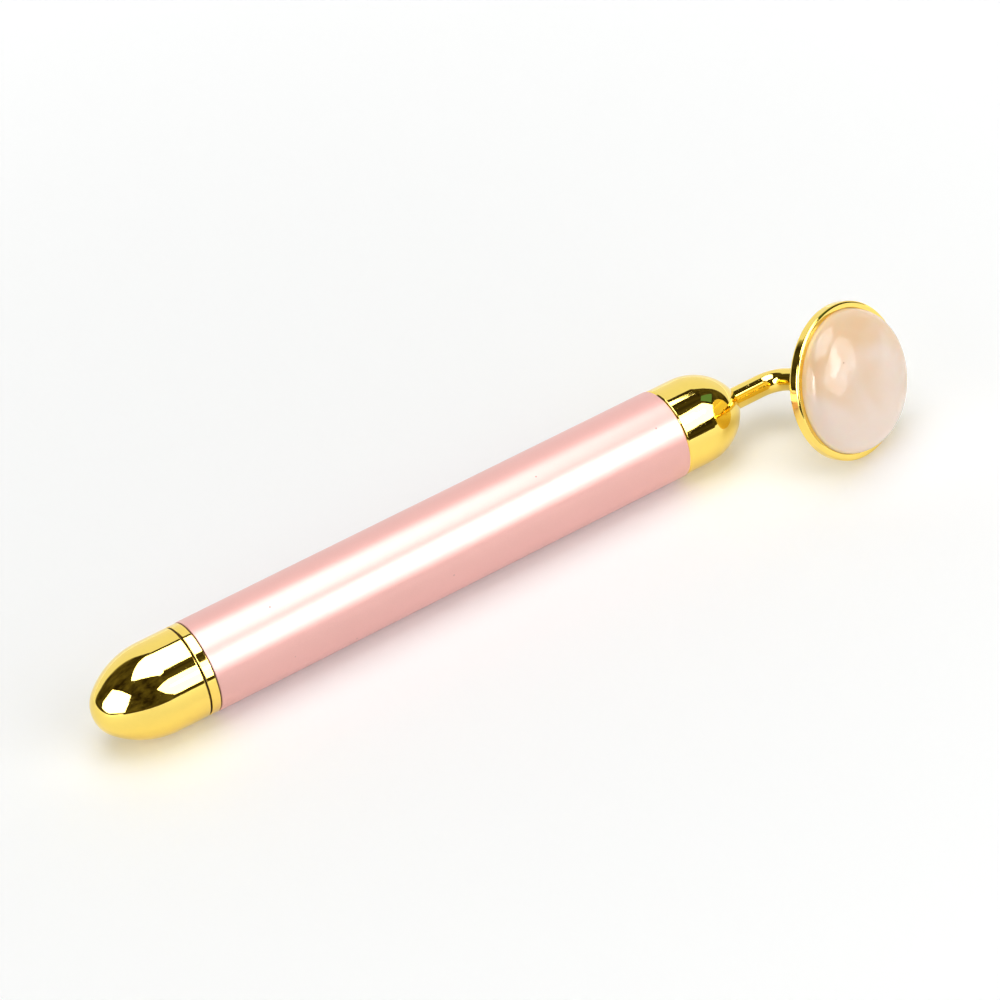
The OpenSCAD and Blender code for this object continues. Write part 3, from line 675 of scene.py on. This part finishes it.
class BEAUTYBAR_OT_barrel_tube(Operator):
    """Builds the pink tube with its softly broken ends"""
    bl_idname = "beautybar.barrel_tube"
    bl_label = "Barrel tube"

    def execute(self, context):
        sizes = context.scene.beauty_bar.barrel
        inner_r = sizes.tube_r - sizes.tube_wall
        corners = [(TUBE_TAIL, inner_r, 0.06 * MM), (TUBE_HEAD, inner_r, 0.06 * MM),
                   (TUBE_HEAD, sizes.tube_r, sizes.edge), (TUBE_TAIL, sizes.tube_r, sizes.edge)]
        tube = turned("pink_tube", rounded(corners, closed=True), closed=True)
        dress(tube, "barrel", "pink_anodised", "barrel_tube")
        return {"FINISHED"}


def nose_of(front):
    """Where the front cap ends on the axis."""
    return TUBE_HEAD + front.straight + front.dome


def arm_place(front, along=0.0):
    """Where the stem's arm is: a piece along X goes to the corner, and along the arm from there."""
    return (Matrix.Translation((nose_of(front) + front.reach, 0, 0)) @ Matrix.Rotation(-front.roll, 4, "X")
            @ Matrix.Rotation(-front.bend, 4, "Z") @ Matrix.Translation((along, 0, 0)))


class BEAUTYBAR_OT_front_cap(Operator):
    """Builds the front cap with its hollow and the seat for the stem"""
    bl_idname = "beautybar.front_cap"
    bl_label = "Front cap"

    def execute(self, context):
        bar = context.scene.beauty_bar
        plug_r, front = bar.barrel.plug_r, bar.front
        nose = nose_of(front)
        seat, shoulder = nose - front.seat_depth, nose - front.shoulder_depth
        hole_r, shank_hole_r = front.stem_r + 0.05 * MM, front.shank_r + 0.05 * MM
        room_r = front.cap_r - front.wall
        outer = [(TUBE_HEAD + s, r) for s, r in bullet(front.cap_r, front.straight, front.dome, front.nose_r, 56)]
        dome = [p for p in outer[2:] if p[1] > hole_r + 0.12 * MM]
        room = [(TUBE_HEAD + s, r) for s, r in bullet(
            room_r, front.straight, front.dome - front.wall, front.nose_r - front.wall, 24)]
        room = [p for p in room[2:] if p[0] < seat - 0.15 * MM]
        outline = rounded([
            (FRONT_TAIL + 0.5 * MM, room_r), (FRONT_TAIL, room_r, 0.1 * MM), (FRONT_TAIL, plug_r, 0.12 * MM),
            (TUBE_HEAD, plug_r, 0.03 * MM), (TUBE_HEAD, front.cap_r - 0.3 * MM, 0.06 * MM),
            (TUBE_HEAD + 0.45 * MM, front.cap_r, 0.2 * MM), (TUBE_HEAD + 2 * MM, front.cap_r)]) + dome
        outline += rounded([
            dome[-1], (nose - 0.36 * MM, hole_r, 0.12 * MM), (shoulder, hole_r, 0.05 * MM),
            (shoulder, shank_hole_r, 0.05 * MM), (seat, shank_hole_r, 0.05 * MM),
            (seat, room[-1][1] + 0.05 * MM, 0.1 * MM), room[-1]])[1:-1]
        dress(turned("front_cap_shell", outline + room[::-1], closed=True), "barrel", "gold_plate", "front_cap")
        return {"FINISHED"}


class Growth(Nodes):
    """A geometry node tree that is built here, grown and then kept as a plain mesh."""

    def __init__(self, name, **inputs):
        self.tree = bpy.data.node_groups.new(name, "GeometryNodeTree")
        super().__init__(self.tree)
        sockets = self.tree.interface
        self.identifiers = {key: sockets.new_socket(
            name=key, in_out="INPUT", socket_type="NodeSocket" + kind).identifier for key, kind in inputs.items()}
        sockets.new_socket(name="Geometry", in_out="OUTPUT", socket_type="NodeSocketGeometry")
        self.given = self.nodes.new("NodeGroupInput").outputs

    def end(self, geometry):
        """Makes real and gives its material to what has grown."""
        real = self.out("GeometryNodeRealizeInstances", {0: geometry})
        painted = self.out("GeometryNodeSetMaterial", {0: real, "Material": self.given["Material"]})
        self.node("NodeGroupOutput", {0: painted})

    def grow(self, name, seed_mesh, **values):
        """A plain mesh piece that the tree makes of a mesh and of the values of its inputs."""
        seed = shown(name + "_seed", seed_mesh)
        modifier = seed.modifiers.new("growth", "NODES")
        modifier.node_group = self.tree
        for key, value in values.items():
            modifier[self.identifiers[key]] = value
        mesh = bpy.data.meshes.new_from_object(seed.evaluated_get(bpy.context.evaluated_depsgraph_get()))
        seed.modifiers.clear()
        bpy.data.objects.remove(seed)
        if not mesh.polygons:
            raise RuntimeError("nothing grew for " + name)
        mesh.name = name
        return smooth_piece(name, mesh)


def swept_rod():
    """A round rod along each line of points, as thick at each as its girth says."""
    growth = Growth("swept_rod", Line="Geometry", Radius="Float", Sides="Int", Material="Material")
    profile = growth.out("GeometryNodeCurvePrimitiveCircle", {
        "Resolution": growth.given["Sides"], "Radius": growth.given["Radius"]})
    growth.end(growth.out("GeometryNodeCurveToMesh", {
        "Curve": growth.out("GeometryNodeMeshToCurve", {0: growth.given["Line"]}), "Profile Curve": profile,
        "Scale": growth.out("GeometryNodeInputNamedAttribute", {"Name": "girth"}, data_type="FLOAT"),
        "Fill Caps": True}))
    return growth


def rod(name, lines, radius, slot, sides, girths=None):
    """Sweeps a rod of that radius through each line of points."""
    points, edges = [], []
    for line in lines:
        edges += [(len(points) + k, len(points) + k + 1) for k in range(len(line) - 1)]
        points += [tuple(p) for p in line]
    mesh = mesh_of(name + "_line", points, [], edges)
    mesh.attributes.new("girth", "FLOAT", "POINT").data.foreach_set("value", girths or [1.0] * len(points))
    return swept_rod().grow(name, mesh, Radius=radius, Sides=sides, Material=finish_of(slot))


class BEAUTYBAR_OT_stem(Operator):
    """Builds the bent stem, from its threaded shank to the tray"""
    bl_idname = "beautybar.stem"
    bl_label = "Stem"

    def execute(self, context):
        bar = context.scene.beauty_bar
        front, nose = bar.front, nose_of(bar.front)
        shank, edge = front.shank_r / front.stem_r, 0.12 * MM / front.stem_r
        tip, shoulder = nose - front.shank_depth, nose - front.shoulder_depth + PLAY
        foot = [(tip, shank - 0.1), (tip + 0.2 * MM, shank), (shoulder - PLAY, shank), (shoulder, shank),
                (shoulder, 1 - edge), (shoulder + 0.03 * MM, 1 - edge * 0.4), (shoulder + 0.12 * MM, 1.0),
                (shoulder + 0.3 * MM, 1.0)]
        points = [(x + 1e-7 * k, 0, 0) for k, (x, _) in enumerate(foot)]
        start = Vector((nose + front.reach - front.bend_r * math.tan(front.bend / 2), 0, 0))
        tilt, steps = Matrix.Rotation(-front.roll, 4, "X"), 48
        for a in (front.bend * k / steps for k in range(steps + 1)):
            points.append(start + tilt @ Vector((front.bend_r * math.sin(a), front.bend_r * (math.cos(a) - 1), 0)))
        end = front.arm + bar.head.socket - PLAY
        points += [arm_place(front, end - 0.3 * MM).translation, arm_place(front, end).translation]
        girths = [girth for _, girth in foot] + [1.0] * (steps + 2) + [0.97]
        stem = rod("bent_stem", [points], front.stem_r, "gold_plate", 96, girths)
        worked = stem.data.attributes.new("worked", "FLOAT", "POINT").data
        worked.foreach_set("value", [1.0] * len(worked))
        dress(stem, "barrel", "gold_plate", "stem")
        return {"FINISHED"}


class BEAUTYBAR_OT_head_tray(Operator):
    """Builds the tray with its rolled lip and the boss on its back"""
    bl_idname = "beautybar.head_tray"
    bl_label = "Head tray"

    def execute(self, context):
        front, head = context.scene.beauty_bar.front, context.scene.beauty_bar.head
        socket_r = front.stem_r + PLAY
        pocket_r, bezel_r = head.stone_r + 0.12 * MM, head.stone_r + 0.03 * MM
        outline = rounded([
            (head.socket, 0), (head.socket, socket_r, 0.1 * MM), (-head.boss_h, socket_r, 0.1 * MM),
            (-head.boss_h, head.boss_r, 0.25 * MM), (0, head.boss_r, 0.35 * MM), (0, head.tray_r, head.foot_round),
            (head.tray_h, head.tray_r, head.lip_round), (head.tray_h, bezel_r, 0.15 * MM),
            (head.tray_h - 0.35 * MM, bezel_r), (head.tray_h - 0.5 * MM, pocket_r),
            (head.tray_floor, pocket_r, 0.15 * MM), (head.tray_floor, 0)], steps=10)
        tray = turned("stone_tray", outline, sides=256, place=arm_place(front, front.arm))
        dress(tray, "barrel", "gold_plate", "head_tray")
        return {"FINISHED"}


class BEAUTYBAR_OT_stone(Operator):
    """Builds the domed stone"""
    bl_idname = "beautybar.stone"
    bl_label = "Stone"

    def execute(self, context):
        front, head = context.scene.beauty_bar.front, context.scene.beauty_bar.head
        base = head.tray_floor + head.cement
        dome = bullet(head.stone_r, head.tray_h - base, head.stone_h, head.crown_r, 48)
        foot = rounded([(0, 0), (0, head.stone_r, 0.25 * MM), dome[1]])
        stone = turned("domed_stone", foot[:-1] + dome[1:], sides=256, place=arm_place(front, front.arm + base))
        dress(stone, "barrel", "rose_stone", "stone")
        return {"FINISHED"}


def smooth_line(points, per=8):
    """A smooth line through a few points, with that many steps from each to the next."""
    points = [Vector(p) for p in points]
    ends = [points[0] * 2 - points[1], *points, points[-1] * 2 - points[-2]]
    line = []
    for a, b, c, d in zip(ends, ends[1:], ends[2:], ends[3:]):
        for t in (k / per for k in range(per)):
            line.append(0.5 * (2 * b + (c - a) * t + (2 * a - 5 * b + 4 * c - d) * t * t
                               + (3 * b - a - 3 * c + d) * t ** 3))
    return [*line, points[-1]]


class BEAUTYBAR_OT_spring_and_leads(Operator):
    """Winds the tail spring and runs the two leads between bulkhead and motor"""
    bl_idname = "beautybar.spring_and_leads"
    bl_label = "Spring and leads"

    def execute(self, context):
        spring = context.scene.beauty_bar.spring
        low, high = span("tail_spring")
        path, per_turn = [], 48
        for k in range(spring.turns * per_turn + 1):
            share, a = k / (spring.turns * per_turn), 2 * math.pi * k / per_turn
            r = spring.base_r + (spring.tip_r - spring.base_r) * share
            path.append((low + spring.wire / 2 + (high - low - spring.wire) * share, r * math.sin(a), -r * math.cos(a)))
        wound = rod("wound_tail_spring", [path], spring.wire / 2, "spring_steel", 12)
        dress(wound, "tail_contact", "spring_steel", "tail_spring")

        start, end = span("contact_bulkhead")[1] + PLAY, span("motor_terminals")[0] - PLAY
        lift = span("motor_terminals", 2)[1] - 0.2 * MM
        lead_r = span("positive_lead", 1)[1]
        top = span("negative_lead", 2)[1] - lead_r
        swing = 3.22 * MM
        # Places along the room between bulkhead and motor, from 0 to 1, and across it.
        plus = [(0.25, 0, 0), (0.4, 0, lift * 0.15), (0.7, 0, lift * 0.85), (0.85, 0, lift), (1, 0, lift)]
        minus = [(0, 0, top), (0.1, 0, top), (0.2, swing * 0.25, top * 0.85), (0.35, swing * 0.85, top * 0.45),
                 (0.5, swing, 0), (0.7, swing * 0.5, -lift * 0.85), (0.85, 0, -lift), (1, 0, -lift)]
        plus, minus = ([(start + share * (end - start), y, z) for share, y, z in route] for route in (plus, minus))
        plus.insert(0, (span("positive_lead")[0], 0, 0))
        for name, route, slot, node in (("red_lead", plus, "red_insulation", "positive_lead"),
                                        ("black_lead", minus, "black_insulation", "negative_lead")):
            dress(rod(name, [smooth_line(route)], lead_r, slot, 20), "barrel", slot, node)
        return {"FINISHED"}


class BEAUTYBAR_OT_battery_cell(Operator):
    """Builds the cell with its turned-in shoulder, its ring and its button"""
    bl_idname = "beautybar.battery_cell"
    bl_label = "Battery cell"

    def execute(self, context):
        cell = context.scene.beauty_bar.cell
        r, button_r = cell.cell_r, cell.button_r
        shoulder, dip = CELL_HEAD - cell.button_h, 0.35 * MM
        outline = rounded([
            (CELL_TAIL, 0), (CELL_TAIL, r - 1.1 * MM, 0.1 * MM), (CELL_TAIL + 0.12 * MM, r - 0.9 * MM, 0.1 * MM),
            (CELL_TAIL + 0.12 * MM, r, 0.5 * MM), (shoulder, r, 0.7 * MM), (shoulder, r - 1.5 * MM, 0.15 * MM),
            (shoulder - dip, r - 1.7 * MM, 0.1 * MM), (shoulder - dip, button_r + 0.4 * MM, 0.1 * MM),
            (shoulder, button_r + 0.3 * MM, 0.1 * MM), (shoulder, button_r, 0.05 * MM),
            (CELL_HEAD, button_r, 0.25 * MM), (CELL_HEAD, 0)])
        dress(turned("wrapped_cell", outline, sides=128), "barrel", "cell_wrap", "battery_cell")
        return {"FINISHED"}


class BEAUTYBAR_OT_windings(Operator):
    """Winds enamelled wire round each tooth of the rotor"""
    bl_idname = "beautybar.windings"
    bl_label = "Windings"

    def execute(self, context):
        w = context.scene.beauty_bar.winding
        low, high = span("rotor_windings")
        step_out = (w.over - w.wire) / max(1, w.layers - 1)
        step_up = (w.outer_r - w.inner_r - w.wire) / max(1, w.rounds - 1)
        along, routes = Vector((1, 0, 0)), []
        for tooth in range(w.teeth):
            a = math.radians(-90) + 2 * math.pi * tooth / w.teeth
            out, side = Vector((0, math.cos(a), math.sin(a))), Vector((0, -math.sin(a), math.cos(a)))
            route = []
            for layer in range(w.layers):
                long = (high - low) / 2 - w.over + w.wire / 2 + step_out * layer
                wide = w.tooth_w / 2 + w.wire * (layer + 0.5)
                bend = w.wire * (layer + 0.6)
                for turn in range(w.rounds):
                    for corner, (sx, sy) in enumerate(((1, 1), (-1, 1), (-1, -1), (1, -1))):
                        rise = turn + (corner + 0.5) / 4 * min(1, w.rounds - 1 - turn)
                        if layer % 2:
                            rise = w.rounds - 1 - rise
                        centre = Vector(((low + high) / 2 + sx * (long - bend), 0, 0)) + side * sy * (wide - bend)
                        centre += out * (w.inner_r + w.wire / 2 + step_up * rise)
                        for b in (math.radians(corner * 90 + 22.5 * k) for k in range(5)):
                            route.append(centre + along * bend * math.cos(b) + side * bend * math.sin(b))
            routes.append(route)
        wound = rod("wound_coils", routes, w.wire / 2, "enamelled_copper", 8)
        dress(wound, "rotor", "enamelled_copper", "rotor_windings")
        return {"FINISHED"}


class BEAUTYBAR_OT_inner_finishes(Operator):
    """Gives each CAD node that is still shown its own finish"""
    bl_idname = "beautybar.inner_finishes"
    bl_label = "Inner finishes"

    def execute(self, context):
        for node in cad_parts.values():
            for slot in node.material_slots:
                if slot.material and slot.material.name in FINISHES:
                    slot.material = finish_of(slot.material.name)
        return {"FINISHED"}


# Where the camera stands and how it is turned, from a fit to the photograph.
CAMERA_AT = Vector((-0.213067, -0.444093, 0.377673))
CAMERA_RIGHT = Vector((0.83422, -0.53589, -0.13002))
CAMERA_UP = Vector((0.41431, 0.45350, 0.78910))


def heading(azimuth, elevation):
    """A direction from angles in degrees: azimuth from +X towards +Y, elevation from the table."""
    a, e = math.radians(azimuth), math.radians(elevation)
    return Vector((math.cos(a) * math.cos(e), math.sin(a) * math.cos(e), math.sin(e)))


ABOVE, RIGHT, LEFT = Vector((0.03, 0.03, 0.9)), heading(-62, 30) * 1.1, heading(-168, 24) * 1.1

# Softboxes: name, place, share of the soft and of the mirrored level, and outline (across, up) in metres.
SOFTBOXES = (
    ("softbox_above", ABOVE, 1.0, 0.87, (
        (-0.477, -0.072), (-0.434, -0.167), (-0.278, -0.294), (-0.098, -0.414), (0.052, -0.545), (0.152, -0.487),
        (0.173, -0.395), (0.39, -0.316), (0.39, 0.076), (0.441, 0.087), (0.449, 0.26), (0.183, 0.46),
        (0.035, 0.47), (-0.147, 0.355), (-0.294, 0.188))),
    ("softbox_right", RIGHT, 0.85, 0.75, (
        (-0.611, 0.194), (-0.518, -0.191), (-0.331, -0.498), (-0.029, -0.333), (0.024, -0.195), (0.288, -0.206),
        (0.552, 0.152), (0.325, 0.579), (0.234, 0.48), (-0.094, 0.341), (-0.137, 0.276), (-0.356, 0.276))),
    ("softbox_left", LEFT, 0.45, 0.85, (
        (-0.509, 0.45), (-0.461, -0.265), (-0.136, -0.37), (0.577, -0.428), (0.53, -0.024), (0.414, 0.343),
        (-0.042, 0.45))))

# Cards in front of and beside them: name, place, share of the mirrored level, tint and outline.
CARDS = (
    ("bulb_right", RIGHT * 0.98, 2.1, (1, 1, 1), (
        (-0.29, -0.05), (-0.22, -0.11), (0.04, 0.01), (0.15, 0.2), (0.19, 0.41), (0.06, 0.36), (-0.06, 0.18))),
    ("bulb_left", LEFT * 0.98, 2.6, (1, 1, 1), (
        (0.06, 0.38), (0.3, 0.36), (0.5, -0.02), (0.52, -0.12), (0.3, -0.12), (0.12, 0.12))),
    ("room_behind", ABOVE * 1.05, 0.04, (0.42, 1, 0.62), ((0.52, -0.3), (0.62, -0.09), (1.35, 0.0), (1.1, -0.56))))

# The dark cloth's lower edge above the pale sweep: azimuth and elevation in degrees. Elsewhere it meets the table.
SWEEP_EDGE = ((0, 1), (7, 9), (14, 22), (18, 35), (25, 46), (33, 52), (45, 54), (62, 53.5), (78, 51), (85, 48),
              (93, 41), (102, 33), (112, 25), (124, 17), (130, 7), (135, -1))
CLOTH_R, CLOTH_ROWS = 2.4, 18
# Azimuths between which the cloth is lit, and how much each of its lowest rows is.
LIT_FROM, LIT_TO, LIT_ROWS = 87, 135, (1.0, 0.3)

TABLE_EDGE_R, TABLE_EDGE_H = 0.26, 15 * MM
TABLE_SIDES, TABLE_RINGS = 64, (0.05, 0.15, 0.5, 1.5, 4.0)
# The table's own glow to the camera: what it is far away, how much less it is under the lamps, and their reach.
TABLE_GLOW, LAMPLIGHT, LAMP_REACH = 0.97, 0.845, 0.66
SWEEP_LIT, SWEEP_SEEN = 0.8, 0.98


def edge_of_cloth(azimuth):
    """Elevation at which the dark cloth ends."""
    for (a, low), (b, high) in zip(SWEEP_EDGE, SWEEP_EDGE[1:]):
        if a <= azimuth <= b:
            return low + (high - low) * (azimuth - a) / (b - a)
    return -1


def cleared(owner):
    """The node tree of a new material or world, emptied."""
    owner.use_nodes = True
    owner.node_tree.nodes.clear()
    return Nodes(owner.node_tree)


def emitter(name, level, tint):
    """A plain glowing material."""
    material = bpy.data.materials.new(name)
    f = cleared(material)
    f.node("ShaderNodeOutputMaterial", {0: f.out("ShaderNodeEmission", {"Color": (*tint, 1), "Strength": level})})
    return material


def set_piece(name, verts, faces, material, *unseen_by):
    """A piece of the set, and the kinds of ray that it is hidden from."""
    mesh = mesh_of(name, verts, faces)
    mesh.materials.append(material)
    piece = shown(name, mesh)
    for ray in unseen_by:
        setattr(piece, "visible_" + ray, False)
    return piece


def facing(place):
    """Three directions at a place above the object: across, up, and away from the object."""
    back = place.normalized()
    across = Vector((0, 0, 1)).cross(back)
    across = across.normalized() if across.length > 0.2 else Vector((1, 0, 0))
    return across, back.cross(across), back


def standing(place, directions):
    """The matrix of a lamp or camera at a place, with its directions across, up and back."""
    return Matrix.Translation(place) @ Matrix(directions).transposed().to_4x4()


def mirror_card(name, place, corners, level, tint=(1, 1, 1)):
    """A glowing card that is only seen in what mirrors it. corners are (across, up), seen from the object."""
    across, up, _ = facing(place)
    set_piece(name, [tuple(place + across * c[0] + up * c[1]) for c in corners], [tuple(range(len(corners)))],
              emitter(name, level, tint), "camera", "diffuse", "shadow", "transmission")


def softbox(name, place, corners, soft, mirror):
    """A softbox: a lamp for the object's colours, and a card of its true outline for what mirrors it."""
    light = bpy.data.lights.new(name, "AREA")
    light.shape = "RECTANGLE"
    light.size, light.size_y = ((max(side) - min(side)) * 0.85 for side in zip(*corners))
    light.energy = soft * math.pi * light.size * light.size_y
    lamp = shown(name, light)
    lamp.matrix_world = standing(place, facing(place))
    lamp.visible_camera = lamp.visible_glossy = False
    mirror_card(name + "_card", place, corners, mirror)


class BEAUTYBAR_OT_studio(Operator):
    """Sets the pale table, the softboxes, the dark cloth round them and the camera"""
    bl_idname = "beautybar.studio"
    bl_label = "Studio"

    def execute(self, context):
        levels = context.scene.beauty_bar.studio
        self.lay_table(levels)
        for name, place, soft, mirror, corners in SOFTBOXES:
            softbox(name, place, corners, levels.soft * soft, levels.mirror * mirror)
        for name, place, mirror, tint, corners in CARDS:
            mirror_card(name, place, corners, levels.mirror * mirror, tint)
        self.hang_cloth()
        self.light_world(context.scene)
        self.place_camera(context.scene, levels)
        return {"FINISHED"}

    def lay_table(self, levels):
        """A wide round table top. To the camera and in reflections it is a little whiter than it is lit, and
        stays white where the lamps no longer reach."""
        verts, faces = [(0, 0, TABLE_Z)], []
        for radius in TABLE_RINGS:
            verts += [(*heading(360 * k / TABLE_SIDES, 0).xy * radius, TABLE_Z) for k in range(TABLE_SIDES)]
        for k in range(TABLE_SIDES):
            j = (k + 1) % TABLE_SIDES
            faces.append((0, 1 + k, 1 + j))
            for a in range(1, len(verts) - TABLE_SIDES, TABLE_SIDES):
                faces.append((a + k, a + TABLE_SIDES + k, a + TABLE_SIDES + j, a + j))
        f = Finish("table_matt_white")
        grain = f.noise(900, 3)
        white = shade((0.965, 0.98, 1.0), levels.table)
        away = f.reach(f.place)
        fall = f.math("POWER", f.math("MULTIPLY_ADD", away, f.math("DIVIDE", away, LAMP_REACH), 1.0), -2.0)
        glow = f.math("MULTIPLY", f.seen(), f.math("MULTIPLY_ADD", fall, -LAMPLIGHT, TABLE_GLOW))
        set_piece("table_top", verts, faces, f.set(
            Base_Color=f.blend(grain, shade(white, 0.985), white), Roughness=0.8, Specular_IOR_Level=0.2,
            Normal=f.bump(grain, 0.02 * MM, 0.3), Emission_Color=(0.955, 0.97, 1, 1), Emission_Strength=glow))

    def hang_cloth(self):
        """A dark cloth round the set, open towards the pale sweep behind the table, and the dark edge of the table in
        front, both glowing with painted light. The camera sees neither."""
        # The cloth glows and is no lamp: its emission is painted light and shade, darker and lighter across its folds
        # and brighter in its lowest rows towards the sweep.
        f = Finish("cloth_dark")
        folds = f.noise(1.6, 4, 0.6)
        dark = f.blend(f.fit(folds, 0.35, 0.7), (0.022, 0.015, 0.005), (0.135, 0.115, 0.04))
        lit = f.math("MULTIPLY", f.painted("lit"), f.fit(folds, 0.3, 0.6, 0.3, 1))
        f.set(Base_Color=(0, 0, 0, 1), Specular_IOR_Level=0.0, Roughness=1.0, Emission_Strength=1.0,
              Emission_Color=f.blend(lit, dark, (0.75, 0.72, 0.5)))
        verts, faces, glow = [], [], []
        for azimuth in range(0, 360, 3):
            low = edge_of_cloth(azimuth)
            for k in range(CLOTH_ROWS):
                verts.append(heading(azimuth, low + (90 - low) * k / CLOTH_ROWS) * CLOTH_R)
                glow.append(LIT_ROWS[k] if LIT_FROM <= azimuth <= LIT_TO and k < len(LIT_ROWS) else 0.0)
        top = len(verts)
        for a in range(0, top, CLOTH_ROWS):
            b = (a + CLOTH_ROWS) % top
            faces += [(a + k, b + k, b + k + 1, a + k + 1) for k in range(CLOTH_ROWS - 1)]
            faces.append((a + CLOTH_ROWS - 1, b + CLOTH_ROWS - 1, top))
        cloth = set_piece("dark_cloth", [*verts, (0, 0, CLOTH_R)], faces, f.material, "camera", "transmission")
        cloth.data.attributes.new("lit", "FLOAT", "POINT").data.foreach_set("value", [*glow, 0.0])
        # The table's edge glows dimly and is no lamp: painted light for the gold to mirror.
        rim = [heading(azimuth, 0).xy * TABLE_EDGE_R for azimuth in range(-150, -49, 4)]
        set_piece("table_edge", [(*foot, TABLE_Z + h) for foot in rim for h in (0, TABLE_EDGE_H)],
                  [(k, k + 2, k + 3, k + 1) for k in range(0, 2 * len(rim) - 2, 2)],
                  emitter("table_edge", 1.0, (0.08, 0.06, 0.03)), "camera", "diffuse", "shadow", "transmission")

    def light_world(self, scene):
        """The pale sweep behind everything."""
        scene.world = bpy.data.worlds.new("pale_sweep")
        f = cleared(scene.world)
        level = f.fit(f.seen(), 0, 1, SWEEP_LIT, SWEEP_SEEN)
        sweep = f.out("ShaderNodeBackground", {"Color": (1, 1, 1, 1), "Strength": level})
        f.node("ShaderNodeOutputWorld", {0: sweep})

    def place_camera(self, scene, levels):
        """The camera stands where the photograph was taken from."""
        camera = shown("camera", bpy.data.cameras.new("camera"))
        camera.data.lens, camera.data.sensor_width, camera.data.clip_start = levels.lens, 36, 0.01
        camera.matrix_world = standing(CAMERA_AT, (CAMERA_RIGHT, CAMERA_UP, CAMERA_RIGHT.cross(CAMERA_UP)))
        scene.camera = camera
        scene.view_settings.view_transform = "Standard"


STEPS = (BEAUTYBAR_OT_tail_cap, BEAUTYBAR_OT_collar, BEAUTYBAR_OT_barrel_tube, BEAUTYBAR_OT_front_cap,
         BEAUTYBAR_OT_stem, BEAUTYBAR_OT_head_tray, BEAUTYBAR_OT_stone, BEAUTYBAR_OT_battery_cell,
         BEAUTYBAR_OT_windings, BEAUTYBAR_OT_spring_and_leads, BEAUTYBAR_OT_inner_finishes, BEAUTYBAR_OT_studio)


class BEAUTYBAR_PT_panel(Panel):
    """Lists the steps that build the bar"""
    bl_idname = "BEAUTYBAR_PT_panel"
    bl_label = "Beauty bar"
    bl_space_type = "VIEW_3D"
    bl_region_type = "UI"
    bl_category = "Beauty bar"

    def draw(self, context):
        for step in STEPS:
            self.layout.operator(step.bl_idname)


CLASSES = (BarrelSizes, TailCapSizes, FrontSizes, HeadSizes, CellSizes, WindingSizes, SpringSizes, FinishColours,
           StudioLevels, BeautyBar, *STEPS, BEAUTYBAR_PT_panel)


def register():
    for item in CLASSES:
        bpy.utils.register_class(item)
    bpy.types.Scene.beauty_bar = PointerProperty(type=BeautyBar)


def unregister():
    del bpy.types.Scene.beauty_bar
    for item in reversed(CLASSES):
        bpy.utils.unregister_class(item)


def main():
    register()
    for step in STEPS:
        group, name = step.bl_idname.split(".")
        getattr(getattr(bpy.ops, group), name)()


if __name__ == "__main__":
    main()
